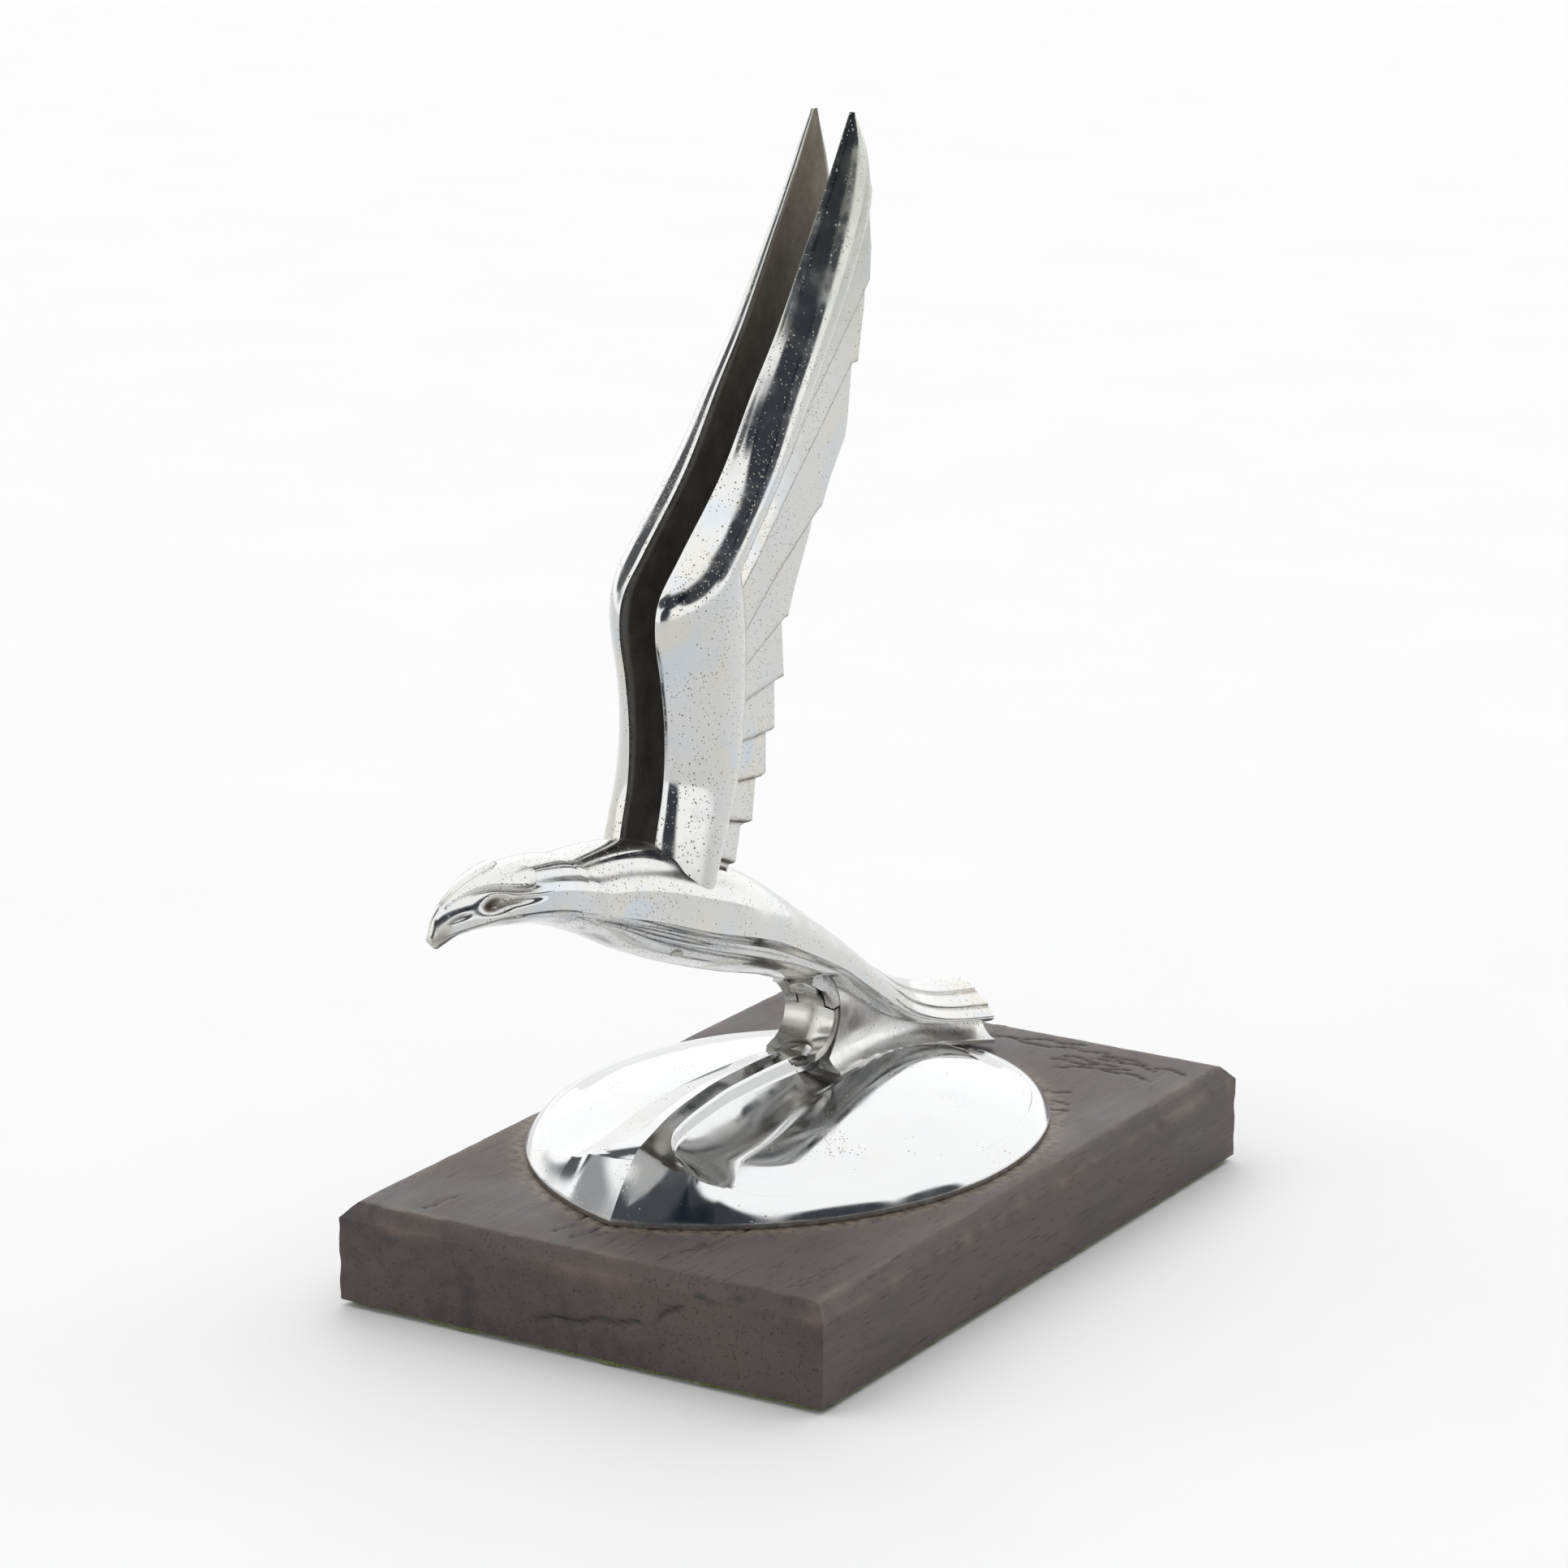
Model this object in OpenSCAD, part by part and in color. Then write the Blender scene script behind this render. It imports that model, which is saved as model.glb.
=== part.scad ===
// Eagle hood ornament fixed to a display board.
// Chromed castings, a finger release lever that pushes a sprung draw rod and
// its lock plate, a hardwood board and a felt pad.
// Millimetres, +Z up, the bird faces -Y. Origin: centre of the felt's bottom face.

/* [Board] */
// Board width, across the bird
board_w = 99; // [80:1:140]
// Board length, along the bird
board_l = 154; // [120:1:200]
// Board thickness, without the felt
board_t = 18; // [12:0.5:30]
// Felt thickness
felt_t = 1; // [0.5:0.1:3]
// Width of the worn bevel round the board's top edge
bevel_w = 3; // [0:0.1:8]
// Height of the same bevel
bevel_h = 2.7; // [0:0.1:8]

/* [Dome] */
// How far the ornament's centre plane sits from the board's
ornament_x = -2.8; // [-8:0.1:8]
// Greatest half width of the dome
dome_r = 44.8; // [35:0.1:55]
// Dome centre to its pointed front tip
dome_front = 60.2; // [50:0.1:75]
// Dome centre to its rounded rear
dome_rear = 57; // [45:0.1:70]
// Height of the panels at the crown, above the board
crown_h = 11.6; // [8:0.1:16]
// How much higher the rim band stands at the front tip
band_rise = 5.9; // [0:0.1:8]
// Height of the rim band at the sides
band_h_side = 3.8; // [2:0.1:8]

/* [Bird] */
// Gap between the two wings' flat inner faces
wing_gap = 7.2; // [4:0.1:12]
// Height of the wing tips above the felt's bottom
wing_top = 204.4; // [150:0.1:240]
// Where the neck seam parts the head from the body, along Y
neck_seam = -75; // [-79:0.5:-60]

/* [Release lever] */
// Width of the lever's channel
lever_w = 10.4; // [8:0.1:14]
// Swing of the lever shown, in degrees
lever_swing = 0; // [0:1:20]
// Radius of the hinge pin
pin_r = 1; // [0.8:0.1:1.5]
// Radius of the draw rod
rod_r = 1.6; // [1.2:0.1:2]
// Running clearance round the pin and the rod
run_fit = 0.08; // [0.02:0.01:0.1]

/* [Hidden] */
$fn = 64;
board_top = felt_t + board_t;
dome_y = -1.3;
ogive_r = (dome_r * dome_r + dome_front * dome_front) / (2 * dome_r);
rim_h = 0.8;
band_w = 2.8;
band_w_front = 7.2;
flute_wall = 3;
lever_arc_y = 0.5;
lever_arc_z = 40.2;
lever_rim_in = 5.6;
lever_rim_out = 7.2;
lever_crease_in = 7;
lever_crease_out = 8.2;
pin_y = 5.9;
pin_z = 45;
knuckle_r = 2.2;
knuckle_w = 5.6;
cheek_gap = 6.1;
web_front_r = 8.7;
rod_y = 12.5;
rod_top = 43.4;
rod_bottom = 6.6;
nose_r = 1.2;
nose_z = pin_z - 0.2;
arm_w = 3.6;
slot_end = 14.6;
slot_low = 40;
slot_high = 46.9;
well_r = 18;
well_top = 24;
throat_r = 9;
throat_top = 27.5;
collar_z = 24.9;
plate_z = 17.1;
plate_t = 1.5;
plate_r = 15;
guide_x = 11;
lock_z = 9;
lock_t = 2;
pocket_r = 17;
pocket_low = 3;
gasket_r = 26;
gasket_t = 1.6;
web_screw_ys = [20, 27];
board_screw_ys = [-34, 45];
board_screw_tops = [27, 23.4];
rod_per_radian = 6.8;
wing_dowel_ys = [-50.5, -45.5];
rod_drop = rod_per_radian * lever_swing * PI / 180;

// Outlines of the bird, each a short list of [position, value] that curve() rounds.
crown_line = [[-116, 85.4], [-114.4, 88.3], [-109, 90.7], [-103, 92], [-94, 92.4], [-86, 92],
    [-74, 90.3], [-60, 88.4], [-50, 85.6], [-36, 80.2], [-22, 73.6], [-4, 62.5], [8, 55],
    [20, 47], [30, 40.4], [38, 36.8], [48, 33.6], [62, 30.6]];
belly_line = [[-116, 84.2], [-114, 82.9], [-110, 84], [-104, 83.8], [-97, 82.6], [-87, 80.4],
    [-74, 75.6], [-59, 68.3], [-43, 61.8], [-27, 56.2], [-13, 51.9], [-3, 48.4], [5, 47.2],
    [12, 42.8], [20, 38], [31, 32], [44, 27.4], [62, 22.6]];
chest_line = [[-116, 84.9], [-110, 86], [-100, 86.2], [-90, 85], [-82, 82.4], [-64, 76.6],
    [-48, 70.8], [-35, 66.6], [-25, 63], [-12, 57.2], [2, 50.4], [11, 45], [24, 37.4],
    [32, 33.2], [45, 28.6], [62, 24.6]];
half_width = [[-116, 0.6], [-112, 2.4], [-107, 4.4], [-102, 5.6], [-96, 7.2], [-89, 8.6],
    [-78, 9.6], [-64, 10.6], [-50, 12.2], [-36, 12.8], [-22, 12], [-6, 10.6], [10, 9.4],
    [26, 8.4], [44, 7.8], [62, 8]];
wing_front = [[70, -57], [88, -52.3], [96, -50.2], [105, -49.8], [114, -51], [123, -52.9],
    [129, -51.7], [135, -45.4], [147, -32], [160, -21.5], [170, -13], [182.5, -4.1],
    [194, 3.9], [204.4, 10.6]];
wing_rear = [[70, -35], [84, -26], [92, -21.5], [99, -18.2], [108, -15.2], [118, -13.7],
    [124, -10.1], [132, -4.2], [141, 1.6], [150, 8.2], [160, 11], [170, 14.6], [180, 16.5],
    [189, 17], [196, 15.2], [204.4, 11.8]];
bar_rear = [[70, -45], [80, -40], [88, -36], [96, -32.4], [105, -30.6], [114, -30],
    [126, -31.3], [132, -32.2], [140, -24.4], [154, -10.9], [169, 1.7], [186, 13.2],
    [196, 14.2], [204.4, 11.5]];
bar_thick = [[70, 7.6], [90, 7.2], [110, 6.8], [126, 7.4], [140, 7], [160, 5.8], [185, 4.4],
    [198, 2.6], [204.4, 0.8]];
spine_line = [[-61.5, 20], [-58.7, 25], [-54.3, 28.6], [-52.5, 30.1], [-49, 31.4], [-41, 33.7],
    [-32, 34.9], [-25, 35.4], [-5, 35], [1.5, 33.6], [5, 31.4], [16, 30.8], [28, 29.2],
    [44, 26], [60, 21.6]];
flute_near = [[-51.9, 12.5], [-51.4, 9.2], [-50, 6.2], [-47.5, 3.8], [-44, 2.6], [60, 2.6]];
flute_reach = [[-52.6, 11.5], [-51.9, 12.6], [-50, 15], [-47, 16], [-42, 14.3], [-30, 14.6], [-20, 13.9],
    [0, 10.8], [12, 9.6], [25, 8.3], [36, 8.2], [48, 10.5], [60, 12]];
flute_depth = [[-52, 0.3], [-46, 1.2], [-38, 1.6], [-6, 1.6], [2, 0.8], [60, 0.7]];
web_foot = [[6, 30.6], [16, 30.4], [28, 28.8], [44, 25.6], [62, 21]];
web_half = [[6, 4.8], [16, 4.4], [30, 4], [46, 4.2], [62, 5]];

// ---- smooth curves and skins ----

function knot(rows, p, i = 0) =
    i >= len(rows) - 2 || p < rows[i + 1][0] ? i : knot(rows, p, i + 1);

function slope(rows, i) =
    let (a = max(i - 1, 0), b = min(i + 1, len(rows) - 1))
    (rows[b][1] - rows[a][1]) / (rows[b][0] - rows[a][0]);

// Value at p of the smooth curve through the rows.
function curve(rows, p) =
    let (
        i = knot(rows, p),
        span = rows[i + 1][0] - rows[i][0],
        u = min(max((p - rows[i][0]) / span, 0), 1)
    )
    (2 * u^3 - 3 * u^2 + 1) * rows[i][1]
    + (u^3 - 2 * u^2 + u) * span * slope(rows, i)
    + (3 * u^2 - 2 * u^3) * rows[i + 1][1]
    + (u^3 - u^2) * span * slope(rows, i + 1);

function power(v, e) = sign(v) * pow(abs(v), e);
function bell(v, width) = exp(-(v / width) * (v / width));

// Closed solid through a list of rings with the same number of points.
module skin(rings) {
    n = len(rings[0]);
    last = (len(rings) - 1) * n;
    sides = [for (j = [0 : len(rings) - 2], i = [0 : n - 1])
        let (a = j * n + i, b = j * n + (i + 1) % n)
        each [[a, a + n, b + n], [a, b + n, b]]];
    polyhedron(
        points = [for (ring = rings) each ring],
        faces = concat([[for (i = [0 : n - 1]) i]], sides,
            [[for (i = [n - 1 : -1 : 0]) last + i]])
    );
}

module on_board() {
    translate([ornament_x, 0, 0]) children();
}

// Cylinder along Z at a point on the centre plane.
module post(y, low, high, r, x = 0) {
    translate([x, y, low]) cylinder(r = r, h = high - low);
}

// Cylinder along X through the lever's hinge line or another (y, z) point.
module cross_bar(y, z, r, w) {
    translate([0, y, z]) rotate([0, 90, 0]) cylinder(r = r, h = w, center = true);
}

// ---- board ----

module felt_pad() {
    inset = 0.6;
    color([0.25, 0.29, 0.1])
        translate([inset - board_w / 2, inset - board_l / 2, 0])
            cube([board_w - 2 * inset, board_l - 2 * inset, felt_t]);
}

module board_blank() {
    translate([-board_w / 2, -board_l / 2, felt_t])
        cube([board_w, board_l, board_t - bevel_h]);
    translate([0, 0, board_top - bevel_h])
        linear_extrude(height = bevel_h,
            scale = [1 - 2 * bevel_w / board_w, 1 - 2 * bevel_w / board_l])
            square([board_w, board_l], center = true);
}

module wood_block() {
    color([0.24, 0.19, 0.18])
        difference() {
            board_blank();
            on_board() {
                post(rod_y, pocket_low, board_top + 1, pocket_r);
                for (y = board_screw_ys) {
                    post(y, 0, board_top + 1, 2.3);
                    post(y, 0, 8, 5.4);
                }
            }
        }
}

module block_screws() {
    color([0.62, 0.6, 0.56])
        on_board()
            for (i = [0, 1]) {
                post(board_screw_ys[i], 3.6, 7.2, 3.5);
                post(board_screw_ys[i], 7.2, board_screw_tops[i] - 0.6, 1.95);
            }
}

module block_washers() {
    color([0.7, 0.68, 0.64])
        on_board()
            for (y = board_screw_ys)
                difference() {
                    post(y, 7.2, 8, 5);
                    post(y, 7, 8.2, 2.1);
                }
}

// ---- dome ----

// Half width of the dome's pointed oval at a distance along Y.
function dome_half(y) =
    let (d = y - dome_y)
    d < 0
    ? dome_r - ogive_r + sqrt(max(ogive_r^2 - d^2, 0))
    : dome_r * sqrt(max(1 - (d / dome_rear)^2, 0));

function rim_point(turn) =
    let (y = dome_y - cos(turn) * (cos(turn) > 0 ? dome_front : dome_rear))
    [sign(sin(turn)) * dome_half(y), y];

// Shrink of the rim's outline to the inner edge of its band, wider at the front tip.
function band_inset(turn, rim) =
    let (front = max(cos(turn), 0)^8)
    1 - (band_w + (band_w_front - band_w) * front) / norm([rim[0], rim[1] - dome_y]);

function band_height(turn) =
    cos(turn) > 0
    ? band_h_side + band_rise / (1 + exp((0.884 - cos(turn)) / 0.045))
    : band_h_side - 0.9 * cos(turn)^2;

// Height of the dome's top: crowned panels, the spine, and a flute on each side of it.
function dome_z(x, y, out, band) =
    let (
        away = abs(x),
        panel = board_top + band + (crown_h - band) * (1 - pow(out, 2.3)),
        inner = curve(flute_near, y),
        reach = curve(flute_reach, y),
        flank = 0.31 * min(away, inner) + 0.7 * max(away - inner, 0),
        rise = curve(spine_line, y) - panel,
        ridge = panel + (rise - flank + sqrt((rise - flank)^2 + 0.2)) / 2,
        across = (away - inner) / max(reach - inner, 0.1),
        drop = flute_wall * max(0, min(1, (y + 58) / 12)),
        bank = max(rise - drop, 0) * (1 - across)^2,
        flute = panel + bank - curve(flute_depth, y) * 4 * across * (1 - across)
    )
    across > 0 && across < 1 && reach > inner + 0.3 ? min(ridge, flute) : ridge;

// Turns crowded towards the front and rear, where the spine and the flutes need them.
function ring_turn(i) = i * 5 - 17 * sin(i * 10);

function dome_ring(out) =
    [for (i = [0 : 71])
        let (
            turn = ring_turn(i),
            rim = rim_point(turn),
            inner = band_inset(turn, rim),
            x = rim[0] * inner * out,
            y = dome_y + (rim[1] - dome_y) * inner * out
        )
        [x, y, dome_z(x, y, out, band_height(turn))]];

function flat_ring(z) =
    [for (i = [0 : 71]) let (rim = rim_point(ring_turn(i))) [rim[0], rim[1], z]];

module dome_blank() {
    skin(concat(
        [flat_ring(board_top), flat_ring(board_top + rim_h)],
        [for (out = [1, 0.94, 0.86, 0.77, 0.67, 0.57, 0.47, 0.37, 0.27, 0.17, 0.08, 0.01])
            dome_ring(out)]
    ));
}

// Round well, throat and gasket seat under the dome, less two screw bosses.
module dome_hollow() {
    difference() {
        post(rod_y, board_top - 1, well_top, well_r);
        for (x = [-guide_x, guide_x]) post(rod_y, plate_z + plate_t, well_top + 1, 3.2, x);
    }
    post(rod_y, well_top - 1, throat_top, throat_r);
    difference() {
        post(rod_y, board_top - 1, board_top + gasket_t, gasket_r);
        post(rod_y, board_top - 2, board_top + gasket_t + 1, well_r - 0.5);
    }
}

// Room in the dome for the lever's foot; the spine runs on between its toes.
module lever_relief() {
    difference() {
        cross_bar(lever_arc_y, lever_arc_z, 8.6, lever_w + 1);
        translate([-2.5, -12, 20]) cube([5, 14, 20]);
    }
}

module dome() {
    color([0.8, 0.8, 0.8])
        on_board()
            difference() {
                dome_blank();
                dome_hollow();
                lever_relief();
                post(rod_y, 20, 40, rod_r + run_fit);
                for (x = [-guide_x, guide_x]) post(rod_y, 15, well_top, 1.5, x);
                for (y = web_screw_ys) post(y, 20, 40, 1.95);
                for (i = [0, 1])
                    post(board_screw_ys[i], board_top - 1, board_screw_tops[i], 2);
            }
}

module cork_gasket() {
    color([0.55, 0.4, 0.25])
        on_board()
            difference() {
                post(rod_y, board_top, board_top + gasket_t, gasket_r - 0.3);
                post(rod_y, board_top - 1, board_top + gasket_t + 1, well_r);
            }
}

// ---- pylon: the web that carries the bird ----

function pylon_ring(y) =
    let (
        foot = curve(web_foot, y),
        wide = curve(web_half, y),
        top = curve(chest_line, y) + 1,
        side = [[wide * 0.6, top], [wide, top - 0.8], [wide, foot + 3.6],
            [wide + 0.5, foot + 1.9], [wide + 1.6, foot + 0.5], [wide + 3, foot - 0.3],
            [wide + 3, foot - 1.6]]
    )
    [for (p = side) [p[0], y, p[1]],
        for (i = [len(side) - 1 : -1 : 0]) [-side[i][0], y, side[i][1]]];

// Sector of the lever's arc; turn 0 points down, 90 back, 180 up.
module arc_sector(from, to) {
    translate([0, lever_arc_y, lever_arc_z])
        rotate([0, 90, 0])
            rotate([0, 0, from])
                rotate_extrude(angle = to - from) children();
}

// Block that carries the hinge; the slot parts it into two cheeks.
module cheeks() {
    arc_sector(99, 168)
        translate([lever_rim_in, -lever_w / 2])
            square([web_front_r + 0.6 - lever_rim_in, lever_w]);
}

module mechanism_slot(high) {
    translate([-cheek_gap / 2, -4, slot_low])
        cube([cheek_gap, slot_end + 4, high - slot_low]);
}

module pylon() {
    color([0.78, 0.78, 0.77])
        on_board()
            difference() {
                union() {
                    difference() {
                        skin(concat(
                            [[for (p = pylon_ring(7)) [p[0] / 20, -1, 38 + p[2] / 20]]],
                            [for (y = [7 : 2.5 : 62]) pylon_ring(y)]
                        ));
                        cross_bar(lever_arc_y, lever_arc_z, web_front_r, 30);
                    }
                    cheeks();
                }
                mechanism_slot(60);
                post(rod_y, 20, 45, rod_r + run_fit);
                cross_bar(pin_y, pin_z, pin_r, 20);
                for (y = web_screw_ys) post(y, 20, 33.6, 1.95);
            }
}

module pylon_screws() {
    color([0.62, 0.6, 0.56])
        on_board()
            for (y = web_screw_ys) {
                post(y, 21.6, well_top, 3);
                post(y, well_top, 33, 1.9);
            }
}

// ---- bird ----

// Ring of the body across Y: rounded back above the chest line, keel below it.
function body_ring(y) =
    let (
        top = curve(crown_line, y),
        low = curve(belly_line, y),
        mid = curve(chest_line, y),
        wide = curve(half_width, y),
        tail = 1 / (1 + exp((30 - y) / 5)),
        back_e = 0.95 + 0.6 * tail,
        keel_e = 1.25
    )
    [for (i = [0 : 27])
        let (
            turn = i * 360 / 28,
            side = abs(turn > 180 ? turn - 360 : turn),
            socket = 0.3 * bell(y + 103.5, 3) * bell(side - 76, 16),
            brow = 0.08 * bell(y + 102, 6) * bell(side - 40, 14),
            up = cos(turn) > 0,
            e = up ? back_e : keel_e
        )
        [wide * power(sin(turn), e) * (1 - socket + brow), y,
            mid + (up ? top - mid : mid - low) * power(cos(turn), e) * (1 + brow)]];

module body_part(from, to, step) {
    skin([for (i = [0 : step : 1]) body_ring(from + (to - from) * i)]);
}

module bird_head() {
    color([0.8, 0.8, 0.79])
        on_board()
            skin([for (y = [-116, -115.4, -114.6, -113.2, -111.5, -109.5, -107, -104.5, -102,
                -100.4, -99, -97.6, -96, -93.5, -91, -88, -85, -82, -80, neck_seam])
                body_ring(y)]);
}

module bird_body() {
    color([0.8, 0.8, 0.79])
        on_board()
            difference() {
                body_part(neck_seam, 62, 1 / 44);
                mechanism_slot(slot_high);
                cross_bar(pin_y, pin_z, knuckle_r + 0.3, cheek_gap + 0.3);
                for (s = [-1, 1]) wing_socket(s);
            }
}

// ---- wings ----

function wing_ring(z) =
    let (
        inner = wing_gap / 2,
        front = curve(wing_front, z),
        rear = curve(wing_rear, z),
        bar = curve(bar_rear, z),
        thick = curve(bar_thick, z),
        vane = 0.5 * thick,
        round_bar = [for (u = [0.1, 0.25, 0.45, 0.65, 0.83, 0.95])
            [inner + thick * power(sin(u * 150) , 0.8), front + (bar - front) * u, z]]
    )
    concat(
        [[inner, rear, z], [inner, front, z]],
        round_bar,
        [[inner + vane, bar, z], [inner + vane * 0.9, (bar + rear) / 2, z],
            [inner + min(1.4, vane * 0.6), rear, z]]
    );

module wing() {
    skin([for (i = [0 : 1 / 48 : 1]) wing_ring(72 + (wing_top - 72) * i)]);
}

// Each wing's root is cast into the body; the socket leaves the dowel holes only.
module wing_socket(s) {
    for (y = wing_dowel_ys) post(y, 66, 78, 1.2, s * (wing_gap / 2 + 3));
}

module wing_left() {
    color([0.8, 0.8, 0.8])
        on_board()
            difference() {
                wing();
                wing_socket(1);
            }
}

module wing_right() {
    color([0.8, 0.8, 0.8])
        on_board()
            difference() {
                mirror([1, 0, 0]) wing();
                wing_socket(-1);
            }
}

module wing_dowels() {
    color([0.62, 0.6, 0.56])
        on_board()
            for (s = [-1, 1], y = wing_dowel_ys)
                post(y, 66.4, 77.6, 1.15, s * (wing_gap / 2 + 3));
}

// ---- release mechanism ----

module swung() {
    translate([0, pin_y, pin_z])
        rotate([-lever_swing, 0, 0])
            translate([0, -pin_y, -pin_z]) children();
}

// V channel across the lever: rims forward, crease back.
module channel_profile(w) {
    rim = 0.9;
    polygon([[lever_rim_out, -w / 2], [lever_crease_out, 0], [lever_rim_out, w / 2],
        [lever_rim_in, w / 2], [lever_rim_in, w / 2 - rim], [lever_crease_in, 0],
        [lever_rim_in, rim - w / 2], [lever_rim_in, -w / 2]]);
}

module release_lever() {
    color([0.76, 0.75, 0.72])
        on_board()
            swung()
                difference() {
                    union() {
                        difference() {
                            arc_sector(-8, 132) channel_profile(lever_w);
                            arc_sector(-12, 48) translate([4, -2.9]) square([6, 5.8]);
                            for (s = [-1, 1])
                                arc_sector(96, 150)
                                    translate([4, s * (knuckle_w / 2 + 3) - 3]) square([6, 6]);
                        }
                        cross_bar(pin_y, pin_z, knuckle_r, knuckle_w);
                        translate([-arm_w / 2, pin_y, nose_z - nose_r])
                            cube([arm_w, rod_y - pin_y, 2 * nose_r]);
                        cross_bar(rod_y, nose_z, nose_r, arm_w);
                    }
                    cross_bar(pin_y, pin_z, pin_r + run_fit, 20);
                }
}

module hinge_pin() {
    color([0.62, 0.6, 0.56])
        on_board() cross_bar(pin_y, pin_z, pin_r, lever_w - 0.2);
}

module lowered() {
    translate([0, 0, -rod_drop]) children();
}

module draw_rod() {
    color([0.66, 0.65, 0.62])
        on_board() lowered() post(rod_y, rod_bottom, rod_top, rod_r);
}

module rod_collar() {
    color([0.66, 0.65, 0.62])
        on_board()
            lowered()
                difference() {
                    post(rod_y, collar_z, collar_z + 1.2, 4);
                    post(rod_y, collar_z - 1, collar_z + 3, rod_r);
                }
}

// Helical wire between the guide plate and the collar.
module return_spring() {
    turns = 4;
    coil_r = 3;
    wire_r = 0.35;
    low = plate_z + plate_t + wire_r;
    rise = collar_z - wire_r - 0.05 - low;
    steps = turns * 14;
    color([0.5, 0.5, 0.5])
        on_board()
            translate([0, rod_y, 0])
                skin([for (k = [0 : steps])
                    let (a = k * 360 / 14)
                    [for (i = [5 : -1 : 0])
                        let (r = coil_r + wire_r * cos(i * 60))
                        [r * cos(a), r * sin(a),
                            low + rise * k / steps + wire_r * sin(i * 60)]]]);
}

module guide_plate() {
    color([0.6, 0.58, 0.5])
        on_board()
            difference() {
                post(rod_y, plate_z, plate_z + plate_t, plate_r);
                post(rod_y, plate_z - 1, plate_z + 3, rod_r + run_fit);
                for (x = [-guide_x, guide_x]) post(rod_y, plate_z - 1, plate_z + 3, 1.6, x);
            }
}

module guide_screws() {
    color([0.62, 0.6, 0.56])
        on_board()
            for (x = [-guide_x, guide_x]) {
                post(rod_y, plate_z - 1.8, plate_z, 2.6, x);
                post(rod_y, plate_z, well_top - 1, 1.45, x);
            }
}

// Round plate with two ears that turns under a radiator neck's lugs.
module lock_plate() {
    color([0.6, 0.58, 0.5])
        on_board()
            lowered()
                difference() {
                    union() {
                        post(rod_y, lock_z, lock_z + lock_t, 10);
                        translate([-14, rod_y - 3.5, lock_z]) cube([28, 7, lock_t]);
                    }
                    post(rod_y, lock_z - 1, lock_z + 4, rod_r);
                }
}

module lock_nut() {
    color([0.62, 0.6, 0.56])
        on_board()
            lowered()
                difference() {
                    translate([0, rod_y, lock_z - 2]) cylinder(r = 3.4, h = 2, $fn = 6);
                    post(rod_y, lock_z - 3, lock_z + 1, rod_r);
                }
}

felt_pad();
wood_block();
block_screws();
block_washers();
cork_gasket();
dome();
pylon();
pylon_screws();
bird_body();
bird_head();
wing_left();
wing_right();
wing_dowels();
guide_plate();
guide_screws();
return_spring();
release_lever();
hinge_pin();
draw_rod();
rod_collar();
lock_plate();
lock_nut();
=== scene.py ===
"""Chromed eagle hood ornament on a stained board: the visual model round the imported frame."""
import math

import bmesh
import bpy
import numpy as np
from mathutils import Matrix, Vector


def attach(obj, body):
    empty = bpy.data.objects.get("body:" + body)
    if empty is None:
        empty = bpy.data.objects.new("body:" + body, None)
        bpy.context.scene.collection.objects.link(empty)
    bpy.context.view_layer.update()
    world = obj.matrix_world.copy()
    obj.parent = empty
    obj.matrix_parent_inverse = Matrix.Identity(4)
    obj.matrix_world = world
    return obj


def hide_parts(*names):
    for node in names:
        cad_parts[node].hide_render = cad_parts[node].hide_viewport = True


# Lengths are in mm, in the frame's own axes, unless a name ends in _M.
MM = 0.001
ORNAMENT_X = -2.8  # the ornament's centre plane stands beside the board's
FLOOR_HALF_M = 3.0
FLOOR_DROP_M = 0.0002  # keeps the floor clear of the felt

# Board
BOARD_TOP = 19.0
BOARD_HALF_W = 49.5
BOARD_HALF_L = 77.0
BEVEL_W = 3.0
BEVEL_H = 2.7
FELT_T = 1.0
BOLT_ROWS_Y = (-34, 45)

# Bird
WING_GAP = 7.2
WING_TOP = 204.4
WING_ROOT = 72
NECK_SEAM = -75.0
TAIL_END = 62
RING_POINTS = 260

# Dome and the band round its rim
DOME_R = 44.8
DOME_Y = -1.3
DOME_FRONT = 60.2
DOME_REAR = 57.0
CROWN_H = 11.6
BAND_RISE = 5.9
BAND_SIDE = 3.8
BAND_W = 2.8
BAND_W_FRONT = 7.2
RIM_H = 0.8
FLUTE_WALL = 3.0  # how far the spine's side drops into a flute
WALL_RUN = 0.8
SHEET_OUT = 0.972  # share of the top that is made in straight sections

# Release lever, its hinge, and the slot it works in
LEVER_W = 10.4
LEVER_RIM_R = 5.6
LEVER_CREASE_R = 7.0
ARC_Y = 0.5
ARC_Z = 40.2
WEB_R = 8.7
PIN_Y = 5.9
PIN_Z = 45.0
PIN_R = 1.0
PIN_HOLE_HALF = 4.4
SLOT_HALF = 3.05
ROD_Y = 12.5
ROD_HOLE_R = 1.68

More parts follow.
